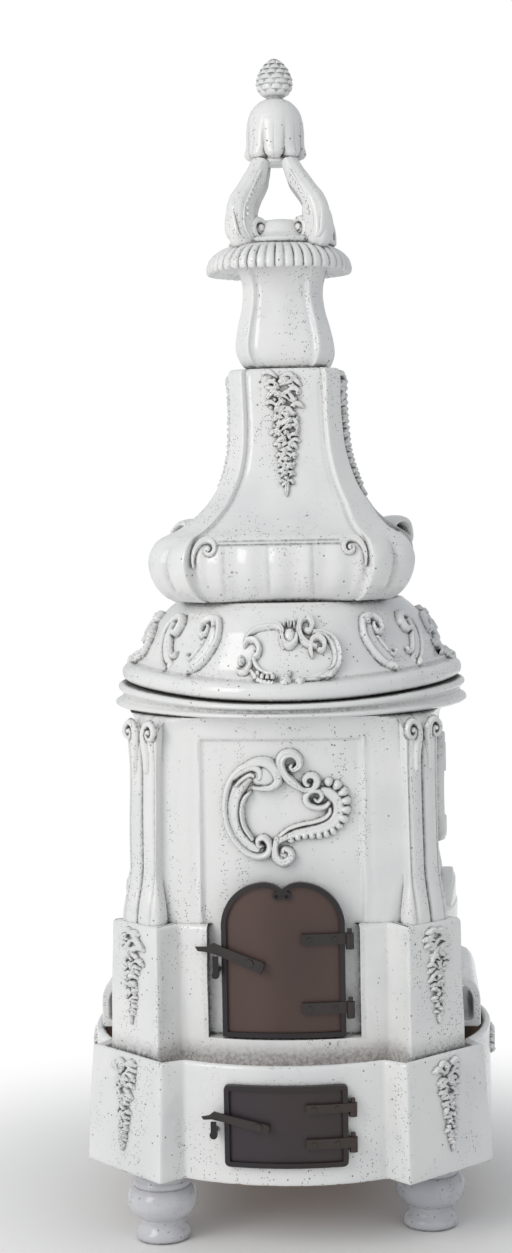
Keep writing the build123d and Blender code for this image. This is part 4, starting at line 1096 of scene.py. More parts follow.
def build_neck():
    heights = np.concatenate([np.arange(1170, 1266, 3.0), np.arange(1266, 1296, 1.5),
                              np.arange(1296, 1350, 4.0), np.arange(1350, 1590, 8.0),
                              [1592, 1596, 1599, 1601.5, 1603.5, 1605]])
    plans = [square_plan(*section_at(NECK, z)) for z in heights]
    columns = np.linspace(-plans[0][2], plans[0][2], 81)
    tier = Tier(heights, plans, soft=5.0, columns=columns)
    z = tier.height
    width = np.array([plan[2] for plan in plans])[:, None]
    share = tier.across / width
    face = tier.kind == FACE
    panel = tier.kind == PANEL
    cushion = step_up(z, 1172, 1200) * (1 - step_up(z, 1262, 1290))
    # Soft upright flutes on the cushion's panels, three ridges on its corner lobes.
    tier.push(np.where(panel, cushion * 1.9 * np.cos(share * math.pi * 6.0) * (np.abs(share) < 0.86), 0.0))
    face_width = np.array([ROOT_TWO * (plan[0] - plan[1]) / 2 for plan in plans])[:, None]
    lobe = np.clip(tier.across / face_width, -1, 1)
    swell = cushion * (5.0 * np.abs(np.sin(np.pi * lobe)) + groove(lobe, 0.12, 3.0))
    tier.push(np.where(face, swell, 0.0))
    rear = face & ((tier.quarter == 1) | (tier.quarter == 2))
    ear = 34.0 * np.exp(-((z - 1298) / 28.0) ** 2) * np.sqrt(np.clip(1 - lobe ** 2, 0, 1))
    tier.push(np.where(rear, ear, 0.0))
    line = groove(np.abs(share) - 0.955, 0.020, 1.8) * step_up(z, 1190, 1230)
    tier.push(np.where(panel, line, 0.0))
    # A double step runs along the shoulder between the volutes.
    for level, depth in SHOULDER_LINES:
        tier.push(np.where(panel & (np.abs(share) < 0.72), groove(z - level, 1.7, depth), 0.0))
    # Three uneven upright creases were left by the hand that closed the panel.
    upright = sum(np.exp(-((tier.across - place) / 3.4) ** 2) for place in CUSHION_CREASES)
    tier.push(np.where(panel, -1.8 * cushion * upright, 0.0))
    upper = step_up(z, 1330, 1400) * (1 - step_up(z, 1585, 1598))
    tier.push(np.where(panel, upper * groove(np.abs(share) - 0.90, 0.035, 1.6), 0.0))
    tier.wave(7.7, 1.0)
    # Painted shade in the shoulder lines, the upright creases, the groove of each corner lobe and the seam by
    # the panel's edge.
    lines = sum(np.exp(-((z - level) / 2.0) ** 2) for level, depth in SHOULDER_LINES)
    crease = (np.where(panel & (np.abs(share) < 0.72), lines, 0)
              + np.where(panel, 0.45 * cushion * upright, 0))
    seam = 0.3 * np.exp(-((np.abs(share) - 0.955) / 0.03) ** 2) * step_up(z, 1190, 1230)
    tier.grime_and_shade = np.clip(0.6 * crease + np.where(face, 0.25 * cushion * np.exp(-(lobe / 0.12) ** 2), 0)
                         + np.where(panel, seam, 0), 0, 1)
    top = tier.points()[-1]
    low = tier.points()[0]
    inner = [top * np.array([0.45, 0.45, 1.0]), low * np.array([0.80, 0.80, 1.0])]
    mesh = shell_mesh("neck", tier, after=inner)
    piece("cushion_and_neck", mesh, "neck_tower", tier="neck")
    # A broad scroll curls up on each rear corner of the cushion.
    turns = np.linspace(0, 2.3 * math.pi, 70)
    radius = 38 - 28 * turns / turns[-1]
    path = np.stack([272 + radius * np.cos(turns - 1.9), 1291 + radius * np.sin(turns - 1.9)], 1)

    def ridges(along, angle):
        return 1 + 0.05 * np.cos(3 * angle) + 0.03 * np.sin(along / 7.0)
    wide = np.interp(np.arange(70), [0, 40, 69], [40, 34, 24])
    curl, curl_faces = sweep_mesh(path, wide, np.linspace(10, 6, 70), 24, change=ridges, flat=2.3)
    scrolls = joined([(turned_copy(curl, angle), curl_faces) for angle in (43, 137)])
    mesh = mesh_from("rear_scrolls", *scrolls, sharp=60.0)
    piece("cushion_rear_scrolls", mesh, tier="neck")


VASE = [(1605, 70, 46, 2, 4), (1607.5, 77, 51, 2, 4), (1612, 83, 56, 3, 5), (1622, 89, 61, 3, 5),
        (1636, 94, 65, 3, 5), (1650, 95, 66, 3, 5), (1668, 93, 64, 3, 5), (1694, 87.5, 60, 3, 5),
        (1720, 80.5, 55, 3, 4), (1747, 77, 52, 3, 4), (1768, 78, 53, 3, 4), (1788, 83, 57, 3, 4),
        (1804, 90, 62, 3, 4)]


def build_vase():
    heights = np.concatenate([[1605, 1606, 1607.5, 1609.5, 1612, 1616], np.arange(1620, 1804, 6.0), [1804]])
    plans = [square_plan(*section_at(VASE, z)) for z in heights]
    tier = Tier(heights, plans, soft=5.0, columns=np.linspace(-plans[0][2], plans[0][2], 41))
    z = tier.height
    width = np.array([plan[2] for plan in plans])[:, None]
    share = tier.across / width
    body = step_up(z, 1615, 1650)
    tier.push(np.where(tier.kind == PANEL, body * groove(np.abs(share) - 0.88, 0.06, 1.3), 0.0))
    tier.wave(9.2, 0.9)
    top = tier.points()[-1]
    low = tier.points()[0]
    inner = [top * np.array([0.8, 0.8, 1.0]), low * np.array([0.75, 0.75, 1.0])]
    mesh = shell_mesh("vase", tier, after=inner)
    piece("baluster_vase", mesh, "vase_pedestal", tier="vase")


def build_rim():
    profile = [(0, 1802), (92, 1802), (104, 1801), (116, 1799), (126, 1794), (133, 1791.5), (137.5, 1792.5),
               (139.6, 1797), (139.9, 1803), (138, 1811), (134, 1818.5), (128, 1825), (120, 1831.5),
               (110, 1837), (101, 1840.5), (90, 1843), (60, 1844), (0, 1844)]
    count = shape().gadroons

    def change(radius, height, angle):
        lobe = np.abs(np.cos(count * angle / 2 + 0.25 * np.sin(4 * angle)))
        amount = step_up(radius, 96, 122)
        droop = amount * (height < 1812)
        notch = (1 - lobe) ** 2
        radius = radius - amount * (5.0 * notch)
        height = height - 3.4 * amount * notch * (height > 1805) + 2.6 * droop * notch
        height = height - 2.0 * droop * (0.5 + 0.5 * np.cos(4 * angle))
        return radius, height
    points, faces = lathe(profile_line(profile, 3.0), count * 12, change)
    angle = np.arctan2(points[:, 1], points[:, 0])
    away = np.hypot(points[:, 0], points[:, 1])
    notch = (1 - np.abs(np.cos(count * angle / 2 + 0.25 * np.sin(4 * angle)))) ** 4
    # Painted shade in the notches between the gadroons.
    grime_and_shade = np.clip(notch * step_up(away, 96, 116) * 0.6, 0, 1)
    mesh = mesh_from("gadrooned_lip", points, faces, {"grime_and_shade": grime_and_shade}, 75.0)
    piece("gadrooned_lip", mesh, "gadrooned_rim", tier="rim")


# ==== crown finial ======================================================================
def sweep_mesh(path, wide, deep, around=28, change=None, flat=2.6):
    """A rounded bar along a path in x and z (local y across), closed at both ends."""
    path = np.asarray(path, float)
    normal = normals(np.gradient(path[:, :2], axis=0))
    angle = np.linspace(0, 2 * math.pi, around, endpoint=False)
    c, s = np.cos(angle), np.sin(angle)
    power = 2.0 / flat
    a = np.sign(c) * np.abs(c) ** power
    b = np.sign(s) * np.abs(s) ** power
    wide = np.asarray(wide, float).reshape(-1, 1) * np.ones((len(path), 1))
    deep = np.asarray(deep, float).reshape(-1, 1) * np.ones((len(path), 1))
    grow = np.ones((len(path), around))
    if change is not None:
        grow = change(lengths(path[:, :2])[:, None], angle[None, :])
    out = a[None, :] * deep * grow
    side = b[None, :] * wide * grow
    points = np.stack([path[:, :1] + normal[:, :1] * out, side, path[:, 1:2] + normal[:, 1:2] * out], -1)
    return capped(points, [points[0].mean(0), points[-1].mean(0)])


def joined(parts):
    """Parts of points and faces put into one."""
    points, faces, count = [], [], 0
    for part_points, part_faces in parts:
        points.append(part_points)
        faces += [[index + count for index in face] for face in part_faces]
        count += len(part_points)
    return np.vstack(points), faces


def turned_copy(points, angle):
    """Points turned about the axis by an angle in degrees."""
    c, s = math.cos(math.radians(angle)), math.sin(math.radians(angle))
    return np.stack([points[:, 0] * c - points[:, 1] * s, points[:, 0] * s + points[:, 1] * c,
                     points[:, 2]], 1)


def ball(x, y, z, radius, count=6):
    """A small round bead."""
    profile = [(radius * math.sin(math.pi * i / count), -radius * math.cos(math.pi * i / count))
               for i in range(count + 1)]
    profile[0], profile[-1] = (0, -radius), (0, radius)
    points, faces = lathe(profile, 14)
    return points + np.array([x, y, z]), faces


def crown_arm():
    """One scrolled arm in its own plane, with bead squares on its flanks and leaves at its foot."""
    line = smooth_line([(88, 1845, 27), (97, 1858, 31), (100, 1875, 31), (100, 1900, 29), (93.5, 1921, 24.5),
                        (76, 1948, 18.5), (62, 1971, 14.5), (50, 1991, 12), (41, 2004, 11)], 2.0)
    t = np.linspace(0, 1, len(line))
    inset = np.interp(line[:, 1], [1900, 1920, 1948, 1973, 1992, 2004], [0, -3, 0, 6, 5, 2])
    line[:, :2] -= normals(np.gradient(line[:, :2], axis=0)) * inset[:, None]
    deep = line[:, 2] + inset
    wide = np.interp(t, [0, 0.5, 1], [20, 20, 17])

    def flutes(along, angle):
        edge = np.abs(np.sin(angle))
        return 1 - 0.10 * np.exp(-((edge - 0.62) / 0.14) ** 2) + 0.02 * np.sin(along / 9.0)
    parts = [sweep_mesh(line, wide, deep, change=flutes, flat=2.8)]
    # A curled scroll at the foot, turned inwards, and a leaf that laps over the outside.
    turns = np.linspace(0, 2.6 * math.pi, 60)
    radius = 22 * (1 - turns / turns[-1] * 0.78)
    scroll = np.stack([68 + radius * np.cos(-math.pi / 2 + turns),
                       1872 + radius * np.sin(-math.pi / 2 + turns)], 1)
    parts.append(sweep_mesh(scroll, np.linspace(24, 19, 60), np.linspace(9, 4.5, 60), 20))
    hub_points, hub_faces = lathe([(0, -23), (5, -23), (7.5, -20), (7.5, 20), (5, 23), (0, 23)], 20)
    hub_points = np.stack([hub_points[:, 0] + 68, hub_points[:, 2], hub_points[:, 1] + 1872], 1)
    parts.append((hub_points, [face[::-1] for face in hub_faces]))
    leaf = smooth_line([(100, 1848), (116, 1851), (125, 1860), (127.5, 1876), (127.5, 1894), (124, 1912)],
                       2.0)
    k = np.linspace(0, 1, len(leaf))
    parts.append(sweep_mesh(leaf, 19 * np.sqrt(np.clip(1 - k ** 2.2, 0.02, 1)),
                            np.interp(k, [0, 0.6, 1], [4.5, 4, 2.2]), 20))
    for index in range(9):
        place = line[int(len(line) * (0.30 + 0.062 * index))]
        size = 4.6 - 0.22 * index
        for side in (-1, 1):
            reach = np.interp(0.30 + 0.062 * index, t, wide)
            parts.append(ball(place[0], side * (reach - 0.6), place[1], size))
    for side in (-1, 1):
        rib = smooth_line([(100, 1853), (109, 1870), (110, 1890), (103, 1915), (86, 1940), (71, 1963),
                           (57, 1982)], 2.5)
        rib_points, rib_faces = sweep_mesh(rib, 3.0, 2.6, 10, flat=2.0)
        parts.append((rib_points + np.array([0, side * 18.5, 0]), rib_faces))
    return joined(parts)


def build_crown():
    arm_points, arm_faces = crown_arm()
    parts = [(turned_copy(arm_points, angle), arm_faces) for angle in DIAGONALS]
    base = profile_line([(0, 1840), (92, 1840), (98, 1844), (99, 1849), (94, 1853), (80, 1857), (72, 1863),
                         (68, 1872), (64, 1880), (57, 1887), (40, 1890.5), (0, 1891)], 3.0)

    def lobes(radius, height, angle):
        return radius * (1 + 0.05 * np.cos(4 * angle) * (radius > 30)), height
    parts.append(lathe(base, 96, lobes))
    cap = profile_line([(0, 1997), (24, 1997), (33, 1998.5), (37, 2001), (38, 2004.5), (36, 2009),
                        (0, 2009)], 2.5)
    parts.append(lathe(cap, 64))
    mesh = mesh_from("scrolled_crown", *joined(parts), sharp=55.0)
    piece("scrolled_crown", mesh, "crown_arms", tier="crown")


def build_bell():
    profile = [(0, 2008), (30, 2006), (44, 2006.5), (50, 2009), (54, 2015), (55, 2023), (54, 2033),
               (54, 2043), (54.6, 2060), (53.6, 2076), (50.5, 2090), (46, 2100), (39, 2109), (30, 2117),
               (18, 2122.5), (15, 2125), (0, 2126)]

    def change(radius, height, angle):
        leaf = np.abs(np.cos(4 * angle))
        low = 1 - step_up(height, 2010, 2095)
        curl = np.exp(-((height - 2016) / 9.0) ** 2)
        grown = radius + low * (2.2 * leaf ** 0.7 - 3.2 * (1 - leaf) ** 3) * (radius > 20)
        grown = grown - 1.5 * low * np.exp(-(np.abs(np.sin(4 * angle)) / 0.10) ** 2) * (height > 2020)
        grown = grown + curl * 3.0 * leaf ** 2 * (radius > 40)
        grown = np.minimum(grown, 61)
        height = height + 7.0 * (1 - leaf) ** 1.5 * (radius > 40) * (1 - step_up(height, 2012, 2040))
        return grown, height
    points, faces = lathe(profile_line(profile, 2.5), 192, change)
    angle = np.arctan2(points[:, 1], points[:, 0])
    leaf = np.abs(np.cos(4 * angle))
    low = 1 - step_up(points[:, 2], 2020, 2100)
    # Painted shade between the leaves low on the bell.
    grime_and_shade = np.clip(low * (0.55 * (1 - leaf) ** 4 + 0.3 * np.exp(-(np.abs(np.sin(4 * angle)) / 0.08) ** 2)),
                    0, 1)
    mesh = mesh_from("leaf_bell", points, faces, {"grime_and_shade": grime_and_shade}, 70.0)
    piece("leaf_bell", mesh, "finial_bell", tier="crown")


def build_cone():
    profile = smooth_line([(15, 2121), (17, 2126), (25, 2131), (32, 2140), (34.6, 2151), (32.6, 2164),
                           (27, 2177), (19, 2188), (10, 2196.5), (3, 2199.6)], 1.2)
    profile = np.vstack([[[0, 2121]], profile, [[0, 2200]]])
    rows = shape().cone_rows

    def scale_shape(height, angle):
        level = np.clip((height - 2129) / 68, 0, 0.999) * rows
        row = np.floor(level)
        up = level - row
        place = angle * 9 / (2 * math.pi) + 0.5 * np.mod(row, 2) + 0.12 * np.sin(2.3 * row + 2 * angle)
        across = np.abs(np.mod(place, 1.0) - 0.5) * 2
        edge = across ** 2 + (up * 1.05) ** 2
        return np.where(edge < 1, np.sqrt(np.clip(1 - edge, 0, 1)) * (0.55 + 0.45 * (1 - up)), 0.0)

    def change(radius, height, angle):
        bump = scale_shape(height, angle)
        amount = step_up(height, 2128, 2134) * (1 - step_up(height, 2190, 2198))
        return radius + amount * (3.0 * bump - 1.3), height
    points, faces = lathe(profile, 144, change)
    bump = scale_shape(points[:, 2], np.arctan2(points[:, 1], points[:, 0]))
    # Painted shade between the scales.
    grime_and_shade = np.clip(0.6 * (bump < 0.12) * step_up(points[:, 2], 2128, 2134), 0, 1)
    mesh = mesh_from("pine_cone", points, faces, {"grime_and_shade": grime_and_shade}, 70.0)
    piece("pine_cone", mesh, "finial_pine_cone", tier="crown")


# ==== relief pieces =====================================================================
SKETCH = 1.968         # millimetres to one unit of the cartouche sketch
LEAN = 0.017           # the sketch leans by this much
RING_TURN = 3.0        # the frieze was set a little turned on the body
SLOPE_LOW, SLOPE_HIGH = 1047.0, 1164.0      # the frieze's slope, which carries its ornament
SCROLL_TURN = 36.0     # the frieze scrolls stand at this angle beside each cartouche


def sketched(points, size=SKETCH, middle=(80.0, 78.0), centre=(10.1, 797.6)):
    """Sketch points (right, down, half width) as x, z and half width on the panel."""
    out = []
    for right, down, half in points:
        dx, dz = right - middle[0], middle[1] - down
        out.append((centre[0] + size * (dx + LEAN * dz), centre[1] + size * (dz - LEAN * dx), half * size))
    return out


def pen(field, **place):
    """Lays rolls on a field, and finds spots on it, from sketch points."""
    def lay(points, high, **more):
        field.stroke(sketched(points, **place), high, **more)

    def spot(right, down):
        return sketched([(right, down, 0)], **place)[0][:2]
    return lay, spot


def front_cartouche():
    field = Relief(-136, 148, 684, 926)
    lay, spot = pen(field)
    # Left: a broad C-scroll that rises from a curl into a clenched leaf head.
    lay([(47, 47, 6), (41, 51, 7), (36, 58, 7.8), (32, 67, 8.2), (30, 78, 8.4), (30.5, 89, 8), (34, 99, 7.6),
         (40, 107, 7), (48, 113, 6), (56, 116, 4.5)], 13, ridges=0.6)
    lay([(44, 38, 2.4), (35, 43.5, 3.0), (28.5, 52, 3.3), (25, 62, 3.4), (23.5, 74, 3.4), (24.5, 88, 3.4),
         (29, 101, 3.4), (36, 111, 3.6), (45, 119, 3.8), (55, 122, 3.8), (63, 118.5, 3.8), (64.5, 110.5, 3.6),
         (59.5, 104.5, 3.4), (54, 106.5, 3.0), (54.5, 111.5, 2.4), (58, 112, 1.8)], 19)
    lay([(47, 62, 1.6), (41.5, 68, 2.2), (38.8, 77, 2.4), (39.3, 88, 2.4), (42.5, 97, 2.4),
         (49.5, 107, 2.0)], 16)
    field.dome(*spot(61, 47), 14 * SKETCH, 14 * SKETCH, 15)
    lay([(30, 50, 3.4), (38, 43, 5), (47, 39, 5), (54, 41, 4.5), (56, 47, 3), (54, 51, 1.5)], 19,
        ridges=0.3)
    lay([(33, 57, 2), (40, 50, 2.6), (47, 46, 3), (51, 48, 2.5)], 18)
    lay([(44, 37, 3.4), (54, 34.5, 5), (63, 36, 6), (70, 43, 6), (72, 51, 5), (67, 57, 4), (58, 58.5, 3),
         (49, 58, 2)], 21,
        ridges=0.4)
    # Top: three curls on one stem.
    lay([(99, 61, 2), (91, 57, 3.5), (83, 51, 4.6), (76.5, 43, 5), (74, 34.5, 5), (77.5, 28, 5),
         (85, 26.5, 4.6), (90.5, 31, 4.2), (91, 37.5, 3.6), (86, 41, 3), (83.5, 38.5, 2.2),
         (85.5, 36.5, 1.8)], 20, ridges=0.6)
    lay([(95, 60, 3), (103, 58.5, 4), (107.5, 53, 4), (105.5, 47.5, 3.8), (100, 46.5, 3.4), (96.5, 50, 3),
         (97.5, 54.5, 2.6), (101, 55.5, 2)], 19, ridges=0.5)
    lay([(119, 71, 2.2), (115, 75, 3), (108, 76, 3.4), (101, 74, 3.4), (97.5, 69, 3.4), (99, 63.5, 3.2),
         (104, 60.5, 3), (110, 61.5, 2.8), (112, 66.5, 2.4), (108.5, 70.5, 2), (105, 68, 1.6)], 17)
    # Right: a smooth band, a ridge inside it, and a shell edge of separate lobes.
    lay([(110, 60, 4), (119, 63, 6), (126, 70, 6.6), (127, 80, 7), (122.5, 89, 7), (113, 94.5, 6.4),
         (101, 97.5, 5.6), (90, 99.5, 5), (80, 103, 4.2), (73, 107, 3.6), (68, 113, 3)], 13, ridges=0.5)
    lay([(119.5, 76, 1.8), (119, 81, 2.2), (114.5, 86, 2.2), (105, 89.5, 2.0), (93, 92, 2.0), (82, 96, 2.0),
         (73, 103, 1.8)], 15)
    field.beads([spot(r, d) + (w * SKETCH,) for r, d, w in ((114, 52, 4.0), (122, 53.5, 5.0),
                                                            (129, 58.5, 5.6), (133, 66, 5.8), (134, 75, 5.8),
                                                            (132.5, 84, 5.8), (128, 92, 5.4))],
        15, 8.4 * SKETCH)
    field.beads([spot(r, d) + (w * SKETCH,) for r, d, w in ((125, 96, 5.0), (118, 99.5, 4.8),
                                                            (109, 101.5, 4.6), (98, 101.8, 4.2),
                                                            (89, 103.8, 4.0), (81, 107.5, 3.4))],
        14, 6.6 * SKETCH)
    # Foot: a ribbed curl.
    field.dome(*spot(78, 121), 8 * SKETCH, 7.5 * SKETCH, 11)
    lay([(71, 106, 3), (69, 114, 4), (70.5, 122, 5), (77, 127, 5), (83.5, 122.5, 4.5), (83, 116.5, 3.5),
         (78, 114.5, 2.8), (76, 118, 2)], 18, ridges=0.5)
    return field


def build_cartouches():
    field = front_cartouche()
    for name, angle in (("front", 0), ("right", 90), ("left", 270)):
        mesh = field.mesh("cartouche_" + name, on_field, (angle,))
        piece("modelled_cartouche_" + name, mesh, "cartouche_" + name)


def frieze_front_field():
    field = Relief(-100, 96, 1040, 1150)
    lay, spot = pen(field, size=1.50, middle=(78.0, 64.0), centre=(-4.5, 1088.0))
    lay([(24, 54, 2.5), (28, 46, 3.8), (38, 39, 4.6), (51, 36, 4.8), (63, 36, 4.2), (70, 41, 3.4),
         (69, 49, 3.0), (71, 56, 2.6)], 11, ridges=0.9)
    lay([(24, 57, 2.0), (29, 51.5, 3.0), (37, 51, 3.6), (42, 57, 3.6), (41, 64, 3.2), (36, 68, 2.6)], 13,
        ridges=0.5)
    lay([(38, 62, 2.4), (33, 67, 3.2), (31, 75, 3.2), (26, 82, 3.4), (18, 83, 3.2), (13, 79, 2.4)], 11)
    field.dome(*spot(20, 71), 8, 9, 13, petals=4)
    lay([(34, 66, 3.0), (39, 75, 3.4), (48, 82, 3.2), (60, 84, 2.6)], 9)
    lay([(32, 80, 2.6), (38, 88, 3.4), (48, 92.5, 3.4), (60, 93, 2.8)], 10, ruffle=0.7, pitch=7)
    field.beads([spot(38, 83) + (4.0,), spot(46, 87.5) + (4.2,), spot(55, 88) + (4.2,),
                 spot(63, 86) + (3.6,)], 12, 9.5)
    field.dome(*spot(79, 47), 12, 12, 12)
    lay([(70, 44, 2.0), (72, 52, 3.4), (79, 55.5, 3.8), (86, 51, 3.2), (87, 44, 2.2)], 14, ridges=0.5)
    lay([(72, 38, 1.4), (75, 33, 1.8), (78, 37, 1.6)], 14)
    lay([(80, 37, 1.4), (83, 32, 1.8), (85, 38, 1.6)], 14)
    lay([(112, 57, 2.0), (101, 54, 3.6), (93, 48, 4.2), (90, 39, 4.0), (93, 31, 3.8), (101, 29, 3.8),
         (106, 35, 3.6), (103, 42, 3.0), (97, 41, 2.4)], 13, ridges=0.7)
    lay([(106, 66, 1.8), (104, 58, 3.0), (106, 50, 3.6), (114, 47.5, 3.8), (120.5, 53, 3.4), (118.5, 60, 2.8),
         (112.5, 59.5, 2.2)], 13, ridges=0.6)
    lay([(106, 43, 2.6), (118, 43.5, 4.0), (128, 49, 4.8), (134.5, 58.5, 5.0), (136, 69, 5.0), (131, 79, 4.8),
         (120, 85, 4.2), (107, 88, 3.4), (95, 88, 2.6)], 11, ridges=1.0)
    lay([(124, 44, 2.0), (133, 50, 2.6), (139, 60, 2.8), (139.5, 72, 2.8), (134, 82, 2.6), (124, 88, 2.2)],
        13, ruffle=0.6, pitch=8, side=1)
    field.dome(*spot(74, 91), 11.5, 10, 14, petals=5)
    field.dome(*spot(91, 92), 11.5, 9, 13, petals=4, turn=40)
    lay([(78, 86, 2.0), (80, 80, 1.6)], 10)
    return field


def build_frieze_relief():
    carrier = on_turned([point for point in FRIEZE_PROFILE if SLOPE_LOW < point[1] < SLOPE_HIGH])
    field = frieze_front_field()
    turns = [RING_TURN + side for side in SIDES]
    mesh = field.mesh("frieze_cartouches", carrier, turns)
    piece("modelled_frieze_cartouches", mesh, "frieze_cartouches", tier="frieze")
    # Each scroll: a volute at the head, an outer lip, a broad band and an inner lip that run to one point.
    scroll = Relief(-56, 52, 1048, 1150)
    lay = pen(scroll, size=1.95, middle=(78.0, 48.0), centre=(0.0, 1098.0))[0]
    for points, high in (
            ([(76, 26, 2.5), (86, 27.5, 3), (91.5, 34, 3), (93, 42, 3), (90, 51, 3), (84, 60, 3),
              (77, 67, 2.5), (70, 71, 1.5)], 12),
            ([(84, 33, 5), (86.5, 42, 6.5), (83, 51, 6.5), (76, 60, 6), (70, 66, 4)], 8),
            ([(80.5, 43, 1.6), (78, 48, 2), (74, 54, 2), (68.5, 59.5, 2), (64, 58.5, 1.6),
              (63.5, 55.5, 1.2)], 10),
            ([(86, 34, 3), (84, 28.5, 3.4), (77.5, 27.5, 3.6), (72, 32, 3.6), (73, 39, 3.4), (79, 40, 2.6),
              (81.5, 36, 2), (79.5, 33, 1.6)], 14)):
        lay(points, high)
    left = scroll.mesh("scrolls", carrier, [angle - SCROLL_TURN for angle in turns])
    piece("modelled_frieze_scrolls", left, "frieze_scrolls", tier="frieze")
    mirror = lambda x, z, high: carrier(-x, z, high)
    right = scroll.mesh("scrolls_right", mirror, [angle + SCROLL_TURN for angle in turns])
    right.flip_normals()
    piece("modelled_frieze_scrolls_right", right, tier="frieze")


def leaf_spray(z_low, z_high, half_top, high, seed, flowers=False):
    """A hanging spray of crowded, curling leaves: wide on top, drawn in to one last leaf."""
    random = np.random.default_rng(seed)
    field = Relief(-half_top - 8, half_top + 8, z_low - 8, z_high + 8)
    tall = z_high - z_low
    heart = z_high - 0.50 * half_top
    level = z_high - 10
    while level > z_low + 0.10 * tall:
        share = min((level - z_low) / (heart - z_low), 1.0)
        half = half_top * (0.20 + 0.74 * share ** (0.8 if flowers else 1.1))
        for side in (-1, 1):
            for lean in (0.15, -0.75):
                turn = math.radians(90 - side * 90) + side * (lean + random.uniform(-0.35, 0.35))
                reach = half * random.uniform(0.78, 1.0) * (1.0 if lean > 0 else 0.85)
                c, z_turn = math.cos(turn), math.sin(turn)
                rise = random.uniform(0.08, 0.24) * reach
                root = random.uniform(-0.35, 0.35) * half
                field.stroke([(root, level, 1.8),
                              (root + 0.5 * reach * c, level + 0.5 * reach * z_turn + rise,
                               2.6 + 0.085 * half),
                              (root + 0.86 * reach * c, level + 0.86 * reach * z_turn, 2.2 + 0.05 * half)],
                             high * random.uniform(0.75, 1.1), ridges=0.7, tip=0.8, power=0.45)
        if flowers or random.random() < 0.55:
            size = 3.4 + 0.10 * half + random.uniform(-0.5, 1.2)
            field.dome(random.uniform(-0.4, 0.4) * half, level - 3, size, size, high * 1.2, petals=5,
                       turn=random.uniform(0, 70))
        if flowers:
            for side in (-1, 1):
                field.dome(side * half * random.uniform(0.45, 0.8), level + random.uniform(-6, 5), 4.0, 4.0,
                           high * 1.1, petals=4)
        level -= 7.5 + 6.0 * share + random.uniform(-1, 1)
    field.stroke([(0, z_low + 0.13 * tall, 3.0), (random.uniform(-2, 2), z_low + 0.06 * tall, 4.8),
                  (0, z_low, 1.4)], high * 0.9,
                 ridges=1.0, tip=0.8)
    return field


def build_leaf_drops():
    carrier = on_face(PLINTH_LOW, PLINTH_HIGH, Z_FOOT_TOP, Z_PLINTH_TOP)
    mesh = leaf_spray(174, 342, 38, 11, 3).mesh("plinth_drops", carrier, DIAGONALS)
    piece("modelled_plinth_leaf_drops", mesh, "plinth_leaf_drops")
    carrier = on_face(LOWER_LOW + [1.7, 0, 0, 0, 0], LOWER_HIGH + [1.7, 0, 0, 0, 0], Z_DECK_TOP, Z_LEDGE)
    mesh = leaf_spray(402, 580, 39, 10.5, 8).mesh("lower_drops", carrier, DIAGONALS)
    piece("modelled_lower_leaf_drops", mesh, "lower_leaf_drops")


def build_side_shells():
    field = Relief(-44, 44, 276, 346)
    for index in range(9):
        angle = math.radians(90 + (index - 4) * 20)
        ex, ez = 40 * math.cos(angle), 42 * math.sin(angle)
        field.stroke([(0.2 * ex, 292 + 0.2 * ez, 2.4), (0.6 * ex, 292 + 0.62 * ez, 4.6),
                      (0.92 * ex, 292 + 0.95 * ez, 5.4)], 11, tip=1.0)
    field.stroke([(-34, 318, 1.6), (-22, 300, 4.0), (-8, 288, 4.6), (0, 286, 4.6), (8, 288, 4.6),
                  (22, 300, 4.0), (34, 318, 1.6)], 12, ridges=0.8)
    field.dome(0, 284, 8, 7, 13, petals=5)
    carrier = on_panel(PLINTH_LOW, PLINTH_HIGH, Z_FOOT_TOP, Z_PLINTH_TOP)
    mesh = field.mesh("side_shells", carrier, (90, 180, 270), 0.72)
    piece("modelled_side_shells", mesh, "plinth_side_shells")


def build_garlands():
    def carrier(x, z, high):
        return np.stack([x, neck_front(x, z) - high, z], -1)
    field = leaf_spray(1364, 1596, 40, 11, 21, flowers=True)
    mesh = field.mesh("garlands", carrier, SIDES)
    piece("modelled_neck_garlands", mesh, "neck_garlands", tier="neck")


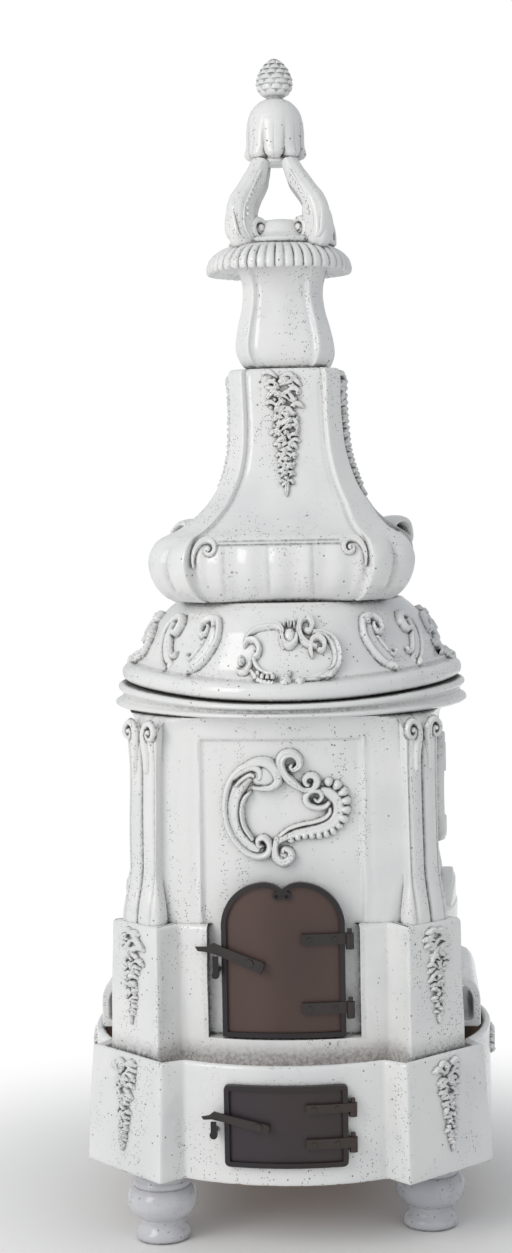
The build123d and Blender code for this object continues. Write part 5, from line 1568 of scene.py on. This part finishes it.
def build_volutes():
    """Volutes at the heads of the upper pilasters and on the cushion's shoulders."""
    head = Relief(-50, 50, 862, 962)
    for side in (-1, 1):
        head.stroke([(side * 17, 864, 7), (side * 17, 890, 9), (side * 14, 914, 10), (side * 12, 933, 9),
                     (side * 17, 948, 7),
                     (side * 28, 954, 6), (side * 38, 949, 5.6), (side * 42, 938, 5.2),
                     (side * 37, 928, 4.8),
                     (side * 28, 926, 4.2), (side * 23, 933, 3.4), (side * 26, 941, 2.6),
                     (side * 32, 940, 2.0)], 12, ridges=0.6)
        head.dome(side * 30, 938, 5.4, 5.4, 13)
    carrier = on_face(UPPER_LOW, UPPER_HIGH, Z_LEDGE, Z_BODY_TOP, bulge_of_upper)
    mesh = head.mesh("pilaster_heads", carrier, DIAGONALS, 0.8)
    piece("pilaster_head_volutes", mesh)

    def shoulder(x, z, high):
        slope = (section_at(NECK, z.ravel() + 2)[0]
                 - section_at(NECK, z.ravel() - 2)[0]).reshape(z.shape) / 4
        size = np.sqrt(1 + slope * slope)
        return np.stack([x, neck_front(x, z) - high / size, z - high * slope / size], -1)
    curls = Relief(-170, 170, 1226, 1302)
    for side in (-1, 1):
        curls.stroke([(side * 158, 1236, 2.6), (side * 159, 1252, 4.0), (side * 155, 1268, 5.4),
                      (side * 145, 1280, 6.2), (side * 132, 1284, 6.0),
                      (side * 121, 1278, 5.4), (side * 119, 1267, 4.8), (side * 126, 1259, 4.2),
                      (side * 135, 1262, 3.6), (side * 136, 1269, 2.8),
                      (side * 130, 1272, 2.2)], 9, ridges=0.8)
        curls.dome(side * 130, 1268, 5.6, 5.6, 10)
    mesh = curls.mesh("shoulder_curls", shoulder, SIDES)
    piece("cushion_shoulder_volutes", mesh, tier="neck")


# ==== casings and crests ================================================================
def build_casings():
    """Side heat casings: an arched tunnel along each flank, open front and rear."""
    outer = [(296, 352), (357, 352), (362, 357), (362, 404), (360, 418), (354, 432), (345, 442), (334, 447),
             (322, 448), (296, 448)]
    outer = np.array(profile_line(outer, 5.0))
    inner = [(296, 432), (322, 432), (331, 430.5), (339, 425), (345, 415), (348, 404), (348, 371), (345, 366),
             (340, 364), (296, 364)]
    inner = np.array(profile_line(inner, 5.0))
    section = np.vstack([outer, inner])
    steps = [(-100, 3.0), (-99.2, 1.4), (-97.6, 0.4), (-95, 0)] + [(y, 0) for y in np.linspace(-84, 180, 19)]
    steps += [(193, 0), (195.6, 0.4), (197.2, 1.4), (198, 3.0)]
    normal = normals(np.roll(section, -1, 0) - np.roll(section, 1, 0))
    for side, name in ((1, "right"), (-1, "left")):
        rings = []
        for y, shrink in steps:
            xz = section - normal * shrink * 0.8
            rings.append(np.column_stack([side * xz[:, 0], np.full(len(xz), y), xz[:, 1]]))
        rows, cols = len(rings), len(section)
        faces = grid_faces(rows, cols, True).tolist()
        faces.append(list(range(cols)))
        faces.append(list(range((rows - 1) * cols, rows * cols))[::-1])
        if side > 0:
            faces = [face[::-1] for face in faces]
        chip = np.zeros((rows, cols))
        chip[:3] = 0.30
        mesh = mesh_from("casing_" + name, np.array(rings), faces, {"chip": chip})
        piece("glazed_casing_" + name, mesh, "side_casing_" + name)


def build_crests():
    """Low rounded crests that stand on the ledge at both sides and the rear."""
    half, top = 105.0, 640.0
    x = np.linspace(-half, half, 43)
    radius = (half ** 2 + (top - Z_LEDGE) ** 2) / (2 * (top - Z_LEDGE))
    crown = top - radius + np.sqrt(radius ** 2 - x ** 2)
    front = crowned(x, *LOWER_HIGH[2:]) + 2.0
    back = niche_back(x) - 6.0
    up = np.linspace(0, 1, 14)
    rings = []
    for t in up:
        z = Z_LEDGE - 3 + (crown - Z_LEDGE + 3) * t
        lip = 5.0 * step_up(t, 0.72, 1.0)
        rings.append(np.column_stack([x, front + lip, z]))
    rings.append(np.column_stack([x, front + 9.0, crown + 1.0]))
    rings.append(np.column_stack([x, (front + back) / 2 + 6, crown + 1.0]))
    rings.append(np.column_stack([x, back + 12, crown - 1.0]))
    rings.append(np.column_stack([x, back + 12, np.full(len(x), Z_LEDGE - 3)]))
    grid = np.array(rings)
    grid[..., 2] = np.maximum(grid[..., 2], Z_LEDGE - 3)
    faces = grid_faces(len(rings), len(x), False, True).tolist()
    faces.append([row * len(x) for row in range(len(rings))])
    faces.append([row * len(x) + len(x) - 1 for row in range(len(rings))][::-1])
    for name, angle in (("right", 90), ("rear", 180), ("left", 270)):
        mesh = mesh_from("crest_" + name, turned_copy(grid.reshape(-1, 3), angle), faces, sharp=50.0)
        piece("glazed_crest_" + name, mesh, "crest_" + name)


# ==== iron and inside ===================================================================
def dress_nodes():
    """The CAD nodes that stay get their finishes and softened edges."""
    iron_edge = shape().iron_edge
    plan = {
        "door_plate": ("fire_door_leaf",),
        "ash_plate": ("ash_door_leaf",),
        "forged_iron": ("fire_door_rim", "ash_door_rim", "fire_door_frame", "ash_door_frame",
                        "fire_door_keeper", "ash_door_keeper"),
        "strap_iron": ("fire_door_straps", "ash_door_straps", "fire_door_strap_rivets",
                       "ash_door_strap_rivets", "fire_door_latch", "ash_door_latch", "fire_door_latch_rivet",
                       "ash_door_latch_rivet", "fire_door_pintles", "ash_door_pintles"),
        "fired_clay": ("firebrick_lining", "ash_pit_bricks", "smoke_baffle", "grate_deck",
                       "plinth_floor_slab"),
        "cast_grate": ("fire_grate",),
        "sheet_iron": ("ash_pan", "flue_collar"),
    }
    for finish, names in plan.items():
        for name in names:
            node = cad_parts[name]
            for slot in node.material_slots:
                slot.material = FINISH[finish]
            if not node.material_slots:
                raise RuntimeError(name + " has no material slot")
            edge = node.modifiers.new("soft_edges", "BEVEL")
            edge.width = iron_edge if "iron" in finish or "plate" in finish else iron_edge * 2
            edge.segments = 2
            edge.limit_method = "ANGLE"
            edge.angle_limit = math.radians(40)
            edge.harden_normals = True


# ==== stage =============================================================================
PLAIN_WHITE = {"Color": (1.0, 1.0, 1.0, 1.0), "Strength": 1.0}


def build_stage():
    scene = bpy.context.scene
    scene.view_settings.view_transform = "Standard"
    count = 64
    radii = [0, 0.4, 0.8, 1.2, 1.8, 2.6, 4.0, 7.0]
    points = [(0, 0, 0)]
    for radius in radii[1:]:
        points += [(radius * math.cos(2 * math.pi * i / count), radius * math.sin(2 * math.pi * i / count),
                    0) for i in range(count)]
    faces = [[0, 1 + i, 1 + (i + 1) % count] for i in range(count)]
    for ring in range(len(radii) - 2):
        base = 1 + ring * count
        faces += [[base + i, base + count + i, base + count + (i + 1) % count,
                   base + (i + 1) % count] for i in range(count)]
    mesh = bpy.data.meshes.new("floor")
    mesh.from_pydata(points, [], faces)
    floor = bpy.data.objects.new("floor", mesh)
    scene.collection.objects.link(floor)
    n = Nodes(bpy.data.materials.new("floor_paper"))
    x, y = n.add("ShaderNodeSeparateXYZ", {0: n.place}).outputs[:2]
    away = n.sum("SQRT", n.sum("ADD", n.sum("MULTIPLY", x, x), n.sum("MULTIPLY", y, y)))
    fade = n.ramp(away, 0.42, 1.25)
    rays = n.add("ShaderNodeLightPath").outputs
    seen = n.sum("MAXIMUM", rays["Is Camera Ray"], rays["Is Glossy Ray"])
    seen = n.sum("MAXIMUM", seen, rays["Is Transmission Ray"])
    plain = n.add("ShaderNodeBsdfDiffuse", {"Color": (0.86, 0.855, 0.85, 1.0)})
    white = n.add("ShaderNodeEmission", PLAIN_WHITE)
    mixed = n.add("ShaderNodeMixShader",
                  {0: n.sum("MULTIPLY", fade, seen), 1: plain.outputs[0], 2: white.outputs[0]})
    n.add("ShaderNodeOutputMaterial", {"Surface": mixed.outputs[0]})
    mesh.materials.append(n.owner)

    scene.world = bpy.data.worlds.new("studio")
    n = Nodes(scene.world)
    rays = n.add("ShaderNodeLightPath").outputs
    either = n.sum("MAXIMUM", rays["Is Camera Ray"], rays["Is Transmission Ray"])
    plain = n.add("ShaderNodeBackground", {"Color": (0.955, 0.975, 1.0, 1.0), "Strength": 0.62})
    white = n.add("ShaderNodeBackground", PLAIN_WHITE)
    mixed = n.add("ShaderNodeMixShader", {0: either, 1: plain.outputs[0], 2: white.outputs[0]})
    n.add("ShaderNodeOutputWorld", {"Surface": mixed.outputs[0]})

    def lamp(name, place, aim, size, power, tint):
        data = bpy.data.lights.new(name, "AREA")
        data.shape = "RECTANGLE"
        data.size, data.size_y = size
        data.energy = power
        data.color = tint
        made = bpy.data.objects.new(name, data)
        made.location = place
        made.rotation_euler = (Vector(aim) - Vector(place)).to_track_quat("-Z", "Y").to_euler()
        scene.collection.objects.link(made)
    lamp("key", (-2.4, -2.8, 2.6), (0, 0, 1.0), (1.7, 3.0), 68, (1.0, 0.985, 0.96))
    lamp("fill", (2.8, -3.0, 1.6), (0, 0, 1.0), (1.2, 2.6), 5, (0.95, 0.97, 1.0))

    data = bpy.data.cameras.new("camera")
    data.sensor_fit = "VERTICAL"
    data.sensor_height = 36.0
    data.lens = 60.6
    data.clip_start, data.clip_end = 0.05, 60.0
    camera = bpy.data.objects.new("camera", data)
    yaw, pitch, roll = 0.0687, -0.0545, -0.0179
    ahead = Vector((-math.sin(yaw) * math.cos(pitch), math.cos(yaw) * math.cos(pitch), math.sin(pitch)))
    level = Vector((math.cos(yaw), math.sin(yaw), 0.0))
    above = level.cross(ahead)
    right = level * math.cos(roll) + above * math.sin(roll)
    up = above * math.cos(roll) - level * math.sin(roll)
    turn = Matrix((right, up, -ahead)).transposed().to_4x4()
    camera.matrix_world = Matrix.Translation((0.221, -4.078, 1.337)) @ turn
    scene.collection.objects.link(camera)
    scene.camera = camera


# ==== operators =========================================================================
def operator(idname, label, doc, *steps):
    """An operator that runs building steps in order."""
    def execute(self, context):
        for step in steps:
            step()
        return {"FINISHED"}
    name = "STOVE_OT_" + idname
    return type(name, (bpy.types.Operator,),
                {"bl_idname": "stove." + idname, "bl_label": label, "__doc__": doc,
                                              "bl_options": {"REGISTER", "UNDO"}, "execute": execute})


OPERATORS = [
    operator("stage", "Stage", "Sets the floor, world, lamps and camera", build_stage),
    operator("feet", "Feet", "Turns the four glazed feet", build_feet),
    operator("plinth", "Plinth", "Presses the plinth tier", build_plinth),
    operator("lower_body", "Lower Body", "Presses the lower tier with the niche of the fire door",
             build_lower_body),
    operator("upper_body", "Upper Body", "Presses the upper tier with its fields and fluted pilasters",
             build_upper_body),
    operator("mouldings", "Mouldings", "Turns the cornice and the frieze", build_cornice, build_frieze),
    operator("neck", "Neck", "Presses the cushion and the neck", build_neck),
    operator("vase", "Vase", "Presses the vase and turns its gadrooned lip", build_vase, build_rim),
    operator("crown", "Crown Finial", "Models the scrolled crown, the bell and the pine cone", build_crown,
             build_bell, build_cone),
    operator("relief", "Relief", "Lays the cartouches, scrolls, sprays, shells and volutes",
             build_cartouches, build_frieze_relief,
             build_leaf_drops, build_side_shells, build_garlands, build_volutes),
    operator("casings", "Casings", "Models the side casings and the crests on the ledge", build_casings,
             build_crests),
    operator("iron", "Iron and Brick", "Gives the door iron, grate, pan, flue and bricks their finish",
             dress_nodes),
]


class STOVE_PT_panel(bpy.types.Panel):
    """Lists the stove's sizes, colours and building steps"""
    bl_label = "Tiled Stove"
    bl_idname = "STOVE_PT_panel"
    bl_space_type = "VIEW_3D"
    bl_region_type = "UI"
    bl_category = "Stove"

    def draw(self, context):
        for group in (context.scene.stove_shape, context.scene.stove_colours):
            box = self.layout.box()
            for key in group.__annotations__:
                box.prop(group, key)
        for made in OPERATORS:
            self.layout.operator(made.bl_idname)


CLASSES = [StoveShape, StoveColours] + OPERATORS + [STOVE_PT_panel]


def register():
    for made in CLASSES:
        bpy.utils.register_class(made)
    bpy.types.Scene.stove_shape = bpy.props.PointerProperty(type=StoveShape)
    bpy.types.Scene.stove_colours = bpy.props.PointerProperty(type=StoveColours)


def unregister():
    del bpy.types.Scene.stove_shape
    del bpy.types.Scene.stove_colours
    for made in reversed(CLASSES):
        bpy.utils.unregister_class(made)


def main():
    register()
    FINISH.update(make_finishes())
    for made in OPERATORS:
        getattr(bpy.ops.stove, made.bl_idname.split(".")[1])()


if __name__ == "__main__":
    main()
